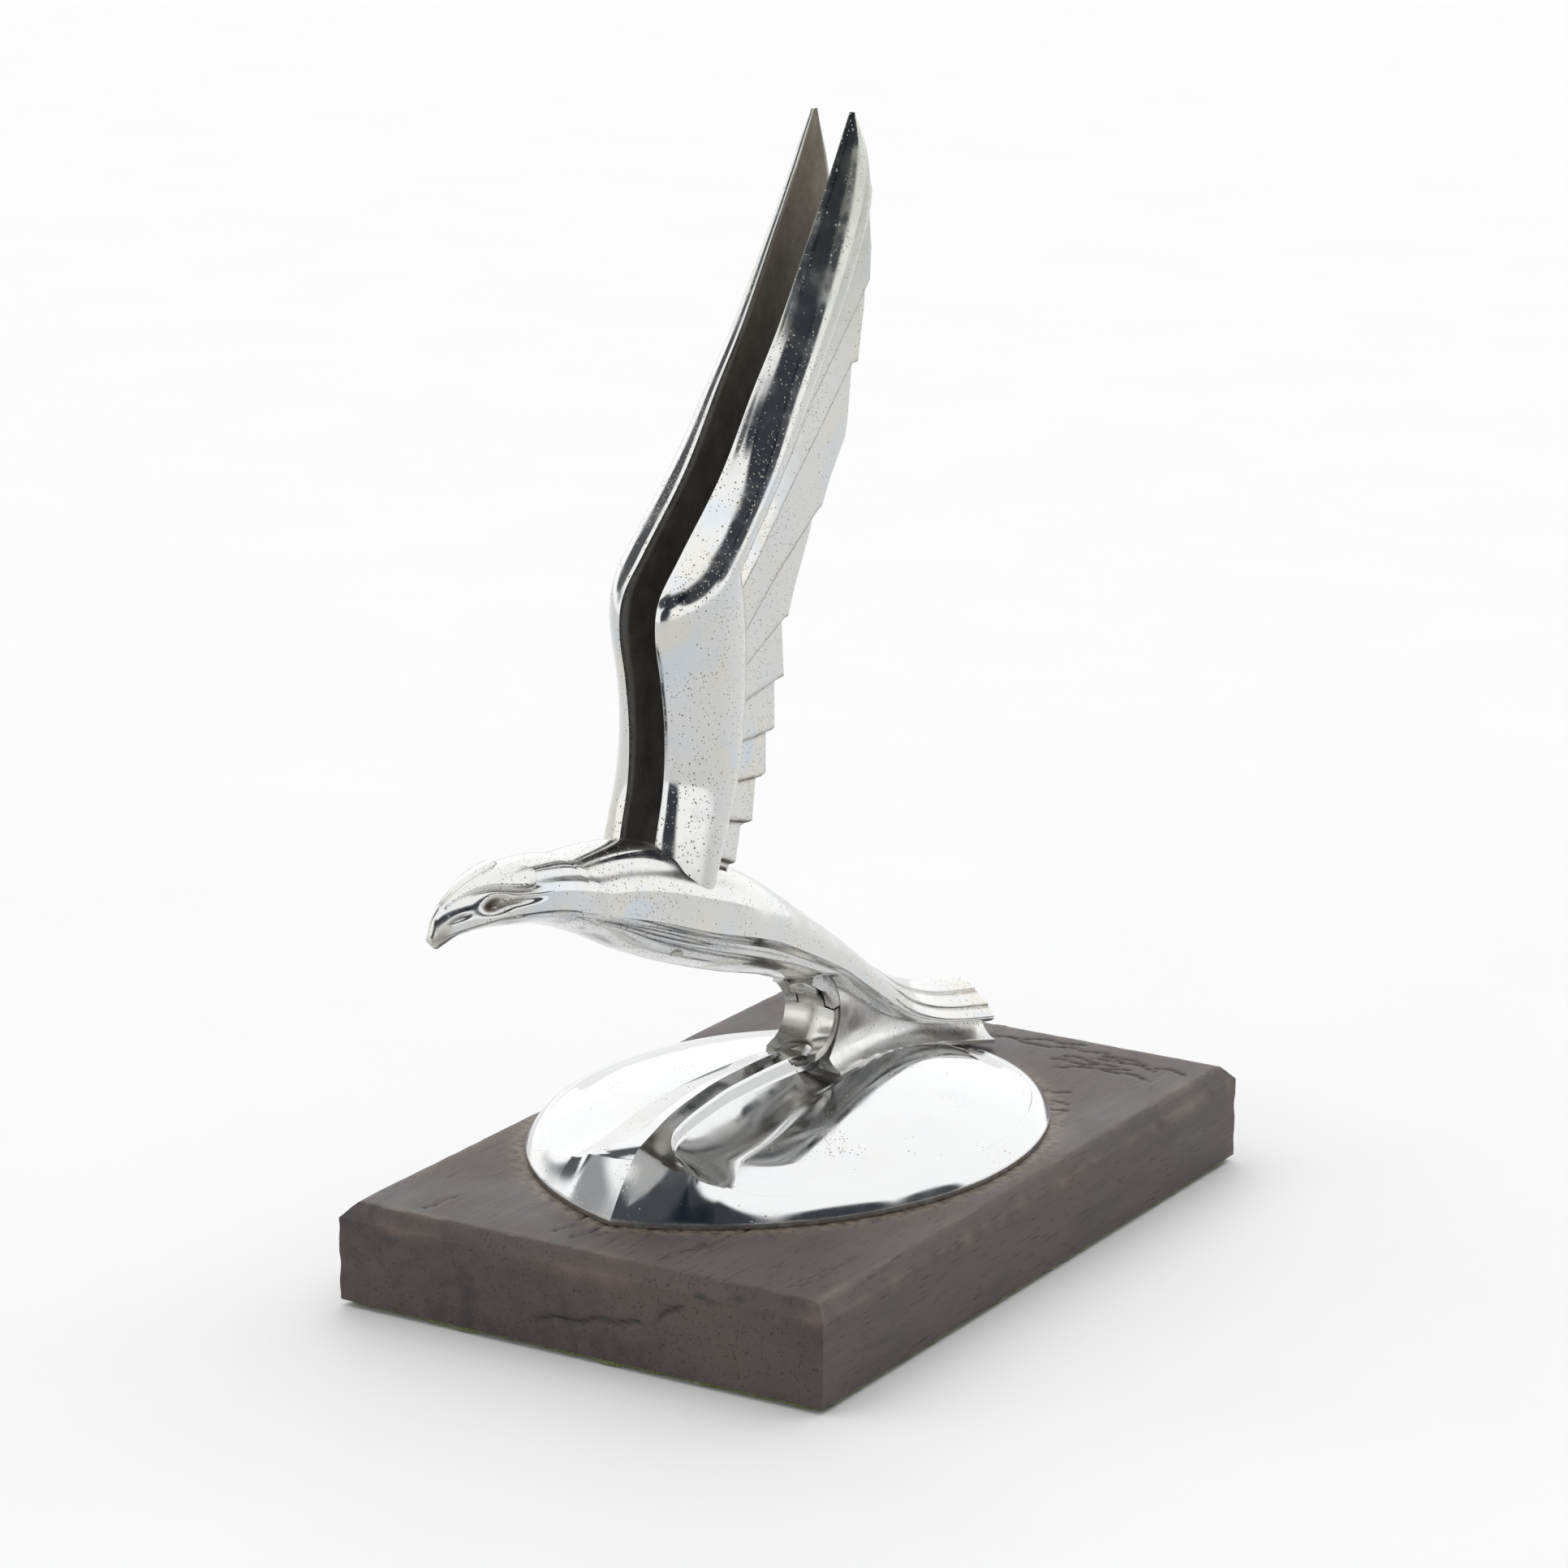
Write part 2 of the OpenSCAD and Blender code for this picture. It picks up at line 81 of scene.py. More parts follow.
# The bird's crown, belly and widest line as (y, z), then its half width against y.
CROWN_LINE = [(-116, 85.4), (-114.4, 88.3), (-109, 90.7), (-103, 92), (-94, 92.4), (-86, 92),
              (-74, 90.3), (-60, 88.4), (-50, 85.6), (-36, 80.2), (-22, 73.6), (-4, 62.5),
              (8, 55), (20, 47), (30, 40.4), (38, 36.8), (48, 33.6), (62, 30.6)]
BELLY_LINE = [(-116, 84.2), (-114, 82.9), (-110, 84), (-104, 83.8), (-97, 82.6), (-87, 80.4),
              (-74, 75.6), (-59, 68.3), (-43, 61.8), (-27, 56.2), (-13, 51.9), (-3, 48.4),
              (5, 47.2), (12, 42.8), (20, 38), (31, 32), (44, 27.4), (62, 22.6)]
CHEST_LINE = [(-116, 84.9), (-110, 86), (-100, 86.2), (-90, 85), (-82, 82.4), (-64, 76.6),
              (-48, 70.8), (-35, 66.6), (-25, 63), (-12, 57.2), (2, 50.4), (11, 45), (24, 37.4),
              (32, 33.2), (45, 28.6), (62, 24.6)]
HALF_WIDTH = [(-116, 0.6), (-112, 2.4), (-107, 4.4), (-102, 5.6), (-96, 7.2), (-89, 8.6),
              (-78, 9.6), (-64, 10.6), (-50, 12.2), (-36, 12.8), (-22, 12), (-6, 10.6),
              (10, 9.4), (26, 8.4), (44, 7.8), (62, 8)]
# The wing's front edge and the rear of its thick bar as (z, y), and the bar's thickness.
WING_FRONT = [(70, -57), (88, -52.3), (96, -50.2), (105, -49.8), (114, -51), (123, -52.9),
              (129, -51.7), (135, -45.4), (147, -32), (160, -21.5), (170, -13), (182.5, -4.1),
              (194, 3.9), (204.4, 10.6)]
BAR_REAR = [(70, -45), (80, -40), (88, -36), (96, -32.4), (105, -30.6), (114, -30),
            (126, -31.3), (132, -32.2), (140, -24.4), (154, -10.9), (169, 1.7), (186, 13.2),
            (196, 14.2), (204.4, 11.5)]
BAR_THICK = [(70, 7.6), (90, 7.2), (110, 6.8), (126, 7.4), (140, 7), (160, 5.8), (185, 4.4),
             (198, 2.6), (204.4, 0.8)]
# The dome's spine as (y, z), its flutes' edges as (y, x) and their depth below the panel.
SPINE_LINE = [(-61.5, 20), (-58.7, 25), (-54.3, 28.6), (-52.5, 30.1), (-49, 31.4), (-41, 33.7),
              (-32, 34.9), (-25, 35.4), (-5, 35), (1.5, 33.6), (5, 31.4), (16, 30.8), (28, 29.2),
              (44, 26), (60, 21.6)]
FLUTE_NEAR = [(-51.9, 12.5), (-51.4, 9.2), (-50, 6.2), (-47.5, 3.8), (-44, 2.6), (60, 2.6)]
FLUTE_REACH = [(-52.6, 11.5), (-51.9, 12.6), (-50, 15), (-47, 16), (-42, 14.3), (-30, 14.6),
               (-20, 13.9), (0, 10.8), (12, 9.6), (25, 8.3), (36, 8.2), (48, 10.5), (60, 12)]
FLUTE_DEPTH = [(-52, 0.3), (-46, 1.2), (-38, 1.6), (-6, 1.6), (2, 0.8), (60, 0.7)]
# The web under the tail: where it meets the dome, and its half width, against y.
WEB_FOOT = [(6, 30.6), (16, 30.4), (28, 28.8), (44, 25.6), (62, 21)]
WEB_HALF = [(6, 4.8), (16, 4.4), (30, 4), (46, 4.2), (62, 5)]
# Lower edge of each feather, front point then rear point, as (y, z).
FEATHER_EDGES = [
    [(-38.6, 81), (-30, 77.6)],
    [(-35.2, 86.8), (-25, 84)],
    [(-32.6, 93.2), (-21.8, 91.5)],
    [(-31, 99.8), (-18.4, 99.1)],
    [(-30.2, 106.6), (-15.4, 108)],
    [(-30.2, 112.4), (-14.3, 118.6)],
    [(-30.4, 118.4), (-18, 127), (-2.5, 136.2)],
    [(-31.2, 126.6), (-24.5, 131.6), (-12.5, 142.6), (8.6, 160)],
    [(-31, 130.5), (-20, 141), (-6, 156), (15.2, 174)],
]
# Outline of the feathers' rear ends as (z, y), with a notch under each lower edge.
WING_REAR = [(70, -36), (77.5, -30.8), (83.9, -27.4), (84.1, -25), (91.4, -22.2), (91.6, -21.6),
             (92, -20.2), (99, -18.7), (99.2, -17.4), (107.9, -15.8), (108.1, -14.2),
             (118.4, -13.7), (118.7, -13.2), (124, -10.1), (132, -4.8), (136.2, -2.6),
             (136.6, -1.6), (141, 1.6), (147.3, 7.2), (150, 8.2), (160, 10.6), (160.3, 11.2),
             (170, 14.6), (174, 15.3), (180, 16.3), (186, 15.9), (187.6, 16.4), (190, 16.8),
             (196, 15), (201, 13), (204.4, 11.8)]


# ---------- numbers to curves ----------

def curve(rows, p):
    """Smooth curve through (position, value) rows, the same rule as the CAD's."""
    t = np.array([r[0] for r in rows], float)
    v = np.array([r[1] for r in rows], float)
    p = np.clip(np.asarray(p, float), t[0], t[-1])
    slope = np.empty_like(v)
    slope[1:-1] = (v[2:] - v[:-2]) / (t[2:] - t[:-2])
    slope[0] = (v[1] - v[0]) / (t[1] - t[0])
    slope[-1] = (v[-1] - v[-2]) / (t[-1] - t[-2])
    i = np.clip(np.searchsorted(t, p, side="right") - 1, 0, len(t) - 2)
    span = t[i + 1] - t[i]
    u = (p - t[i]) / span
    return ((2 * u**3 - 3 * u**2 + 1) * v[i] + (u**3 - 2 * u**2 + u) * span * slope[i]
            + (3 * u**2 - 2 * u**3) * v[i + 1] + (u**3 - u**2) * span * slope[i + 1])


def straight(rows, p):
    """Straight lines through (position, value) rows."""
    return np.interp(p, [r[0] for r in rows], [r[1] for r in rows])


def bell(v, width):
    """One at zero, falling away smoothly over the width."""
    return np.exp(-(v / width) ** 2)


def power(v, e):
    """Power that keeps the sign."""
    return np.sign(v) * np.abs(v) ** e


def step(v, low, high):
    """0 below low, 1 above high, smooth between."""
    t = np.clip((v - low) / (high - low), 0, 1)
    return t * t * (3 - 2 * t)


def wobble(x, y, z, size, seed):
    """Smooth noise between about -1 and 1 from a few seeded waves of that size in mm."""
    rng = np.random.default_rng(seed)
    total = 0
    for _ in range(9):
        a = rng.normal(size=3)
        a *= (0.6 + 0.8 * rng.random()) * 2 * math.pi / size / np.linalg.norm(a)
        total = total + np.sin(a[0] * x + a[1] * y + a[2] * z + rng.random() * 6.28)
    return total / 3.0


# ---------- meshes ----------

def link(name, mesh):
    """Adds a mesh to the scene as an object."""
    piece = bpy.data.objects.new(name, mesh)
    bpy.context.scene.collection.objects.link(piece)
    return piece


def sheet_faces(rows, cols, closed):
    """Quads of a rows x cols grid of points; closed joins the last column to the first."""
    j, i = np.meshgrid(np.arange(rows - 1), np.arange(cols if closed else cols - 1),
                       indexing="ij")
    a = j * cols + i
    b = j * cols + (i + 1) % cols
    return np.stack([a, a + cols, b + cols, b], -1).reshape(-1, 4)


def build(name, points, quads, caps=(), sharp=38, **marks):
    """Mesh piece from points in mm; marks are per-point values for the materials to read."""
    mesh = bpy.data.meshes.new(name)
    faces = [tuple(int(k) for k in q) for q in quads] + [tuple(c) for c in caps]
    mesh.from_pydata([tuple(p) for p in np.asarray(points) * MM], [], faces)
    for mark, values in marks.items():
        layer = mesh.attributes.new(mark, "FLOAT", "POINT")
        layer.data.foreach_set("value", np.asarray(values, np.float32))
    finish_mesh(mesh, sharp)
    return link(name, mesh)


def finish_mesh(mesh, sharp):
    """Outward normals, no doubled points, smooth shading with sharp creases."""
    bm = bmesh.new()
    bm.from_mesh(mesh)
    bmesh.ops.remove_doubles(bm, verts=bm.verts, dist=2e-6)
    bmesh.ops.dissolve_degenerate(bm, edges=bm.edges, dist=1e-6)
    bmesh.ops.recalc_face_normals(bm, faces=bm.faces)
    limit = math.radians(sharp)
    for face in bm.faces:
        face.smooth = True
    for edge in bm.edges:
        if len(edge.link_faces) == 2:
            edge.smooth = edge.calc_face_angle(0) < limit
    bm.to_mesh(mesh)
    bm.free()


def skin(name, rings, **extra):
    """Closed piece through rings, an array (ring, point, 3)."""
    m, n, _ = rings.shape
    last = (m - 1) * n
    caps = (list(range(n)), list(range(last + n - 1, last - 1, -1)))
    return build(name, rings.reshape(-1, 3), sheet_faces(m, n, True), caps, **extra)


def cut(piece, cutters):
    """Takes the cutters' volume out of the piece, then removes them."""
    for cutter in cutters:
        mod = piece.modifiers.new("cut", "BOOLEAN")
        mod.operation = "DIFFERENCE"
        mod.solver = "EXACT"
        mod.object = cutter
    graph = bpy.context.evaluated_depsgraph_get()
    mesh = bpy.data.meshes.new_from_object(piece.evaluated_get(graph))
    piece.modifiers.clear()
    piece.data = mesh
    for cutter in cutters:
        bpy.data.objects.remove(cutter)


def post(y, low, high, r, x=0.0, sides=64):
    """Cylinder along Z on the ornament's centre plane, for cutting."""
    turn = np.linspace(0, 2 * math.pi, sides, endpoint=False)
    ring = np.stack([ORNAMENT_X + x + r * np.cos(turn), y + r * np.sin(turn)], -1)
    rings = np.stack([np.c_[ring, np.full(sides, z)] for z in (low, high)])
    return skin("cutter", rings)


def cross_bar(y, z, r, half, sides=96, x=0.0):
    """Cylinder along X, for cutting."""
    turn = np.linspace(0, 2 * math.pi, sides, endpoint=False)
    ring = np.stack([y + r * np.cos(turn), z + r * np.sin(turn)], -1)
    rings = np.stack([np.c_[np.full(sides, ORNAMENT_X + x + s), ring] for s in (-half, half)])
    return skin("cutter", rings)


def brick(low, high):
    """Box for cutting, from corner to corner."""
    (x0, y0, z0), (x1, y1, z1) = low, high
    ring = [(x0, y0), (x1, y0), (x1, y1), (x0, y1)]
    rings = np.array([[(ORNAMENT_X + x, y, z) for x, y in ring] for z in (z0, z1)])
    return skin("cutter", rings)


def on_board(points):
    """Moves points from the ornament's centre plane to its place on the board."""
    return points + np.array([ORNAMENT_X, 0, 0])


# ---------- materials ----------

def new_material(name):
    """Empty material with its shader node."""
    mat = bpy.data.materials.new(name)
    mat.use_nodes = True
    nodes = mat.node_tree.nodes
    nodes.clear()
    out = nodes.new("ShaderNodeOutputMaterial")
    shader = nodes.new("ShaderNodeBsdfPrincipled")
    mat.node_tree.links.new(shader.outputs[0], out.inputs[0])
    return mat, shader


class Graph:
    """Short ways to add the nodes these materials share."""

    def __init__(self, mat):
        self.tree = mat.node_tree
        self.coords = self.add("ShaderNodeTexCoord").outputs["Object"]

    def add(self, kind):
        return self.tree.nodes.new(kind)

    def link(self, a, b):
        self.tree.links.new(a, b)

    def noise(self, size_mm, detail=3.0, rough=0.55, stretch=(1, 1, 1)):
        """Noise whose features are about size_mm; stretch lengthens them along an axis."""
        place = self.add("ShaderNodeMapping")
        place.inputs["Scale"].default_value = [1000.0 / size_mm / s for s in stretch]
        self.link(self.coords, place.inputs["Vector"])
        tex = self.add("ShaderNodeTexNoise")
        tex.inputs["Scale"].default_value = 1.0
        tex.inputs["Detail"].default_value = detail
        tex.inputs["Roughness"].default_value = rough
        self.link(place.outputs[0], tex.inputs["Vector"])
        return tex.outputs["Fac"]

    def cells(self, size_mm):
        place = self.add("ShaderNodeMapping")
        place.inputs["Scale"].default_value = [1000.0 / size_mm] * 3
        self.link(self.coords, place.inputs["Vector"])
        tex = self.add("ShaderNodeTexVoronoi")
        tex.inputs["Scale"].default_value = 1.0
        self.link(place.outputs[0], tex.inputs["Vector"])
        return tex.outputs["Distance"]

    def ramp(self, value, low, high, a=0.0, b=1.0):
        """value from low..high to a..b, smooth and clamped."""
        node = self.add("ShaderNodeMapRange")
        node.interpolation_type = "SMOOTHSTEP"
        node.inputs["From Min"].default_value = low
        node.inputs["From Max"].default_value = high
        node.inputs["To Min"].default_value = a
        node.inputs["To Max"].default_value = b
        self.link(value, node.inputs["Value"])
        return node.outputs["Result"]

    def math(self, op, a, b):
        node = self.add("ShaderNodeMath")
        node.operation = op
        node.use_clamp = True
        for socket, v in zip(node.inputs, (a, b)):
            if isinstance(v, (int, float)):
                socket.default_value = v
            else:
                self.link(v, socket)
        return node.outputs[0]

    def mix(self, fac, a, b):
        """Colour a where fac is 0, b where it is 1."""
        node = self.add("ShaderNodeMix")
        node.data_type = "RGBA"
        sockets = {"fac": node.inputs[0], "a": node.inputs[6], "b": node.inputs[7]}
        for key, v in (("fac", fac), ("a", a), ("b", b)):
            if isinstance(v, tuple):
                sockets[key].default_value = (*v, 1.0)
            elif isinstance(v, (int, float)):
                sockets[key].default_value = v
            else:
                self.link(v, sockets[key])
        return node.outputs[2]

    def bump(self, height, strength, distance_mm, normal=None):
        node = self.add("ShaderNodeBump")
        node.inputs["Strength"].default_value = strength
        node.inputs["Distance"].default_value = distance_mm * MM
        self.link(height, node.inputs["Height"])
        if normal is not None:
            self.link(normal, node.inputs["Normal"])
        return node.outputs[0]

    def attribute(self, name):
        node = self.add("ShaderNodeAttribute")
        node.attribute_name = name
        return node.outputs["Fac"]


def chrome(name, pits, haze, base=(0.65, 0.655, 0.66), smooth=0.045):
    """Old chrome plate: brown pits, hazy patches with a faint tint, grime and painted shade in
    recesses.

    Points marked raw are unplated metal: the brown-grey flat faces between the wings.
    """
    mat, shader = new_material(name)
    g = Graph(mat)
    haze_mask = g.ramp(g.noise(14, 5), 0.42, 0.72, 0, haze)
    tint = g.mix(g.ramp(g.noise(9, 2), 0.35, 0.65), (0.55, 0.60, 0.65), (0.64, 0.61, 0.53))
    plate = g.mix(haze_mask, base, tint)
    speck = g.math("MULTIPLY", g.ramp(g.cells(1.3), 0.08, 0.18, 1, 0),
                   g.ramp(g.noise(6, 4), 0.62 - 0.2 * pits, 0.74 - 0.2 * pits))
    fine = g.math("MULTIPLY", g.ramp(g.cells(0.7), 0.12, 0.24, 1, 0),
                  g.ramp(g.noise(13, 5), 0.58 - 0.2 * pits, 0.74 - 0.2 * pits))
    pit = g.math("ADD", speck, fine)
    # Painted shade with grime: the marked points take a dark soot colour in creases, recesses and
    # at the feet of parts.
    shade_and_dirt = g.math("MULTIPLY", g.attribute("grime"), g.ramp(g.noise(2.5, 5), 0.25, 0.6, 0.55, 1))
    brown = g.mix(g.noise(1.5, 3), (0.13, 0.09, 0.055), (0.34, 0.26, 0.16))
    shade_and_soot = g.mix(g.noise(3, 4), (0.045, 0.036, 0.028), (0.24, 0.20, 0.15))
    colour = g.mix(shade_and_dirt, g.mix(pit, plate, brown), shade_and_soot)
    bare = g.mix(g.ramp(g.noise(5, 5), 0.3, 0.7), (0.052, 0.045, 0.036), (0.105, 0.092, 0.072))
    tarnish = g.attribute("tarnish")
    bare = g.mix(tarnish, bare, g.mix(g.noise(2, 5), (0.12, 0.105, 0.075), (0.27, 0.24, 0.18)))
    dull = g.math("MULTIPLY", tarnish, g.ramp(g.noise(10, 5), 0.25, 0.6, 0.35, 0.9))
    colour = g.mix(dull, colour, g.mix(g.noise(4, 4), (0.30, 0.33, 0.31), (0.52, 0.51, 0.45)))
    raw = g.attribute("raw")
    colour = g.mix(raw, colour, bare)
    g.link(colour, shader.inputs["Base Color"])
    rough = g.ramp(g.noise(7, 6, 0.65), 0.3, 0.8, smooth, smooth + 0.08 + 0.22 * haze)
    rough = g.math("ADD", rough, g.math("MULTIPLY", pit, 0.4))
    rough = g.math("ADD", rough, g.math("MULTIPLY", shade_and_dirt, 0.45))
    rough = g.math("ADD", rough, g.math("MULTIPLY", raw, 0.45))
    g.link(rough, shader.inputs["Roughness"])
    g.link(g.math("SUBTRACT", 1.0, g.math("MULTIPLY", raw, 0.7)), shader.inputs["Metallic"])
    waves = g.bump(g.noise(5, 2), 0.10, 0.05)
    normal = g.bump(g.math("SUBTRACT", 1.0, pit), 0.5, 0.06, waves)
    g.link(normal, shader.inputs["Normal"])
    return mat


def plain_metal(name, light, dark, rough):
    """Unplated metal of the hidden parts: turned grain and light staining."""
    mat, shader = new_material(name)
    g = Graph(mat)
    grain = g.noise(0.35, 4, 0.6, (1, 1, 6))
    colour = g.mix(g.ramp(g.noise(4, 5), 0.3, 0.7), light, dark)
    g.link(colour, shader.inputs["Base Color"])
    g.link(g.ramp(grain, 0.3, 0.7, rough - 0.08, rough + 0.15), shader.inputs["Roughness"])
    shader.inputs["Metallic"].default_value = 1.0
    g.link(g.bump(grain, 0.25, 0.03), shader.inputs["Normal"])
    return mat


def stained_wood():
    """Dark purple-brown board: long grain along Y, dusty wear, fine open pores."""
    mat, shader = new_material("stained_wood")
    g = Graph(mat)
    bands = g.noise(3.2, 4, 0.6, (1, 9, 1))
    pores = g.noise(0.55, 3, 0.7, (1, 12, 1))
    blotch = g.noise(28, 4)
    dark = g.mix(g.ramp(bands, 0.3, 0.7), (0.028, 0.019, 0.020), (0.060, 0.042, 0.041))
    colour = g.mix(g.ramp(blotch, 0.35, 0.7), dark, (0.080, 0.057, 0.052))
    colour = g.mix(g.ramp(pores, 0.56, 0.68), colour, (0.016, 0.011, 0.010))
    edge = g.math("MULTIPLY", g.attribute("wear"), g.ramp(g.noise(16, 5), 0.46, 0.66))
    colour = g.mix(edge, colour, (0.13, 0.088, 0.068))
    dust = g.math("MULTIPLY", g.attribute("dust"), g.ramp(g.noise(1.6, 5), 0.3, 0.65))
    colour = g.mix(dust, colour, (0.20, 0.165, 0.12))
    colour = g.mix(g.attribute("crack"), colour, (0.008, 0.006, 0.005))
    g.link(colour, shader.inputs["Base Color"])
    g.link(g.ramp(blotch, 0.2, 0.8, 0.36, 0.58), shader.inputs["Roughness"])
    shader.inputs["Specular IOR Level"].default_value = 0.5
    grain = g.bump(pores, 0.35, 0.12)
    g.link(g.bump(bands, 0.25, 0.2, grain), shader.inputs["Normal"])
    return mat


def felt_cloth():
    """Olive green felt with a fibrous surface."""
    mat, shader = new_material("green_felt")
    g = Graph(mat)
    fibre = g.noise(0.5, 6, 0.7)
    colour = g.mix(g.ramp(fibre, 0.3, 0.7), (0.055, 0.075, 0.012), (0.20, 0.24, 0.06))
    g.link(colour, shader.inputs["Base Color"])
    shader.inputs["Roughness"].default_value = 0.95
    shader.inputs["Sheen Weight"].default_value = 0.5
    g.link(g.bump(fibre, 0.8, 0.3), shader.inputs["Normal"])
    return mat


def cork_sheet():
    """Cork crumbs pressed into a sheet."""
    mat, shader = new_material("cork_sheet")
    g = Graph(mat)
    crumb = g.cells(1.2)
    colour = g.mix(g.ramp(crumb, 0.1, 0.6), (0.36, 0.22, 0.12), (0.55, 0.38, 0.22))
    g.link(g.mix(g.ramp(g.noise(2, 4), 0.5, 0.7), colour, (0.16, 0.09, 0.05)),
           shader.inputs["Base Color"])
    shader.inputs["Roughness"].default_value = 0.85
    g.link(g.bump(crumb, 0.5, 0.2), shader.inputs["Normal"])
    return mat


def pale_floor():
    """Plain pale floor, almost white."""
    mat, shader = new_material("pale_floor")
    g = Graph(mat)
    g.link(g.mix(g.noise(60, 2), (0.90, 0.90, 0.90), (0.93, 0.93, 0.93)),
           shader.inputs["Base Color"])
    shader.inputs["Roughness"].default_value = 0.6
    shader.inputs["Specular IOR Level"].default_value = 0.2
    return mat


# ---------- bird ----------

def body_rings(stations, around):
    """Rings of the body across Y, with their grime and painted shade. side is 0 on the crown, 180
    on the keel.
    """
    y = np.asarray(stations)[:, None]
    turn = np.linspace(0, 2 * math.pi, around, endpoint=False)[None, :]
    side = np.degrees(np.where(turn > math.pi, 2 * math.pi - turn, turn))
    top, low = curve(CROWN_LINE, y), curve(BELLY_LINE, y)
    mid, wide = curve(CHEST_LINE, y), curve(HALF_WIDTH, y)
    tail = 1 / (1 + np.exp((30 - y) / 5))
    up = np.cos(turn) > 0
    e = np.where(up, 0.95 + 0.6 * tail, 1.25)
    x = wide * power(np.sin(turn), e)
    z = mid + np.where(up, top - mid, mid - low) * power(np.cos(turn), e)
    # swell moves the skin outward from the section's middle, as a share of its radius.
    swell = np.zeros(np.broadcast(y, turn).shape)
    grime = np.zeros_like(swell)
    neck = step(y, -99, -90) * (1 - step(y, -44, -30))
    swell += neck * (0.055 * np.exp(-np.abs(side - 67) / 7) - 0.035 * bell(side - 46, 8))
    # Painted shade with grime along the groove of the neck's facet.
    grime += 0.35 * neck * bell(side - 50, 4)
    chest = step(y, -90, -74) * (1 - step(y, 14, 30))
    swell += chest * (0.03 * np.exp(-np.abs(side - 90) / 5) - 0.075 * bell(side - 109, 10))
    head, shade_and_dirt = head_relief(y, side)
    roof, tier_shade_and_grime = tail_relief(y, side)
    swell += head + roof
    grime += shade_and_dirt + tier_shade_and_grime
    # Painted shade with grime on the back between the wing roots.
    grime += 0.6 * bell(y + 50, 7) * bell(side - 10, 22)
    # Painted shade with grime under the belly, where the lever and web meet it.
    grime += 0.6 * bell(y - 6, 9) * bell(side - 165, 25)
    x = x * (1 + swell)
    z = mid + (z - mid) * (1 + swell)
    return np.stack([x, np.broadcast_to(y, x.shape), z], -1), np.clip(grime, 0, 1)


def head_relief(y, side):
    """Brow plates, eye sockets with their eyes, nostrils and mouth."""
    reach = curve([(-113, 16), (-108, 22), (-103, 34), (-98, 50), (-92, 55)], y)
    rear_end = -92.4 - 0.004 * (side - 32) ** 2
    plate = (step(y, -112.6, -111.9) * (1 - step(y, rear_end - 0.35, rear_end + 0.2))
             * step(side, 6, 9) * (1 - step(side, reach - 1.5, reach + 2.5)))
    swell = 0.11 * plate
    under = bell(side - reach - 5, 4) * step(y, -110, -104) * (1 - step(y, -95, -92))
    socket = bell(y + 103.2, 2.5) * bell(side - 66, 11)
    trail = bell(y + 98.6, 3.4) * bell(side - 71, 5)
    eye = bell(y + 102.8, 1.0) * bell(side - 69, 4.5)
    nostril = bell(y + 111 - 0.06 * (side - 64), 1.5) * bell(side - 64, 6)
    mouth = step(y, -114.5, -112.5) * (1 - step(y, -101, -97)) * bell(side - 104, 3)
    hook = step(-y, 111.5, 114.5) * bell(side - 95, 30)
    swell += 0.10 * eye - 0.36 * socket - 0.10 * trail - 0.05 * under - 0.11 * nostril
    swell -= 0.07 * mouth
    # Painted shade with grime: darker in the eye sockets and the trail behind them, under the
    # brows, in the nostrils and mouth, and on the beak's hook; lighter on the eyes.
    grime = 1.2 * socket + 0.7 * trail + 0.5 * under + 0.9 * nostril + 0.5 * mouth
    return swell, grime + 0.6 * hook - 0.25 * eye


def tail_relief(y, side):
    """Three overlapping tiers of tail feathers on each side."""
    grown = step(y, 18, 34)
    swell = 0
    grime = 0
    for edge, lift in ((34, 0.06), (57, 0.065), (80, 0.05)):
        swell = swell + lift * grown * (1 - step(side, edge - 1.0, edge + 1.0))
        # Painted shade with grime just below each tier's lower edge.
        grime = grime + 0.55 * grown * bell(side - edge - 3, 2.5)
    return swell, grime


def eagle_head():
    """Head and neck up to the seam."""
    stations = np.concatenate([[-116, -115.8], np.arange(-115.5, NECK_SEAM, 0.25), [NECK_SEAM]])
    rings, grime = body_rings(stations, RING_POINTS)
    # The head's rear edge stands a little proud of the body, with a rounded lip.
    proud = 1 + 0.022 * step(stations, NECK_SEAM - 5, NECK_SEAM - 1)
    rounded = 1 - 0.03 * step(stations, NECK_SEAM - 0.3, NECK_SEAM)
    mid = curve(CHEST_LINE, stations)[:, None]
    scale = (proud * rounded)[:, None]
    rings[..., 0] *= scale
    rings[..., 2] = mid + (rings[..., 2] - mid) * scale
    return skin("eagle_head", on_board(lean_seam(rings)), grime=grime.ravel(), sharp=30)


def lean_seam(rings):
    """Leans the sections near the neck seam, so that the seam runs up and forward."""
    y = rings[..., 1]
    near = bell(y - NECK_SEAM, 5)
    height = rings[..., 2] - curve(CHEST_LINE, y)
    rings[..., 1] = y - 0.38 * near * np.maximum(height, 0)
    return rings


def eagle_body():
    """Breast, back and tail, with a slot for the lever in the belly."""
    stations = np.concatenate([np.arange(NECK_SEAM, 14, 0.5),
                               np.arange(14, TAIL_END - 0.1, 0.35), [TAIL_END]])
    rings, grime = body_rings(stations, RING_POINTS)
    piece = skin("eagle_body", on_board(lean_seam(rings)), grime=grime.ravel(), sharp=30)
    cut(piece, [
        brick((-SLOT_HALF, -4, 40), (SLOT_HALF, 14.6, 46.9)),
        cross_bar(PIN_Y, PIN_Z, 2.5, 3.2),
    ])
    return piece


# ---------- wings ----------

def feather_front_z(edge, y):
    """Height of a feather's lower edge at each y."""
    return np.interp(y, [p[0] for p in edge], [p[1] for p in edge])


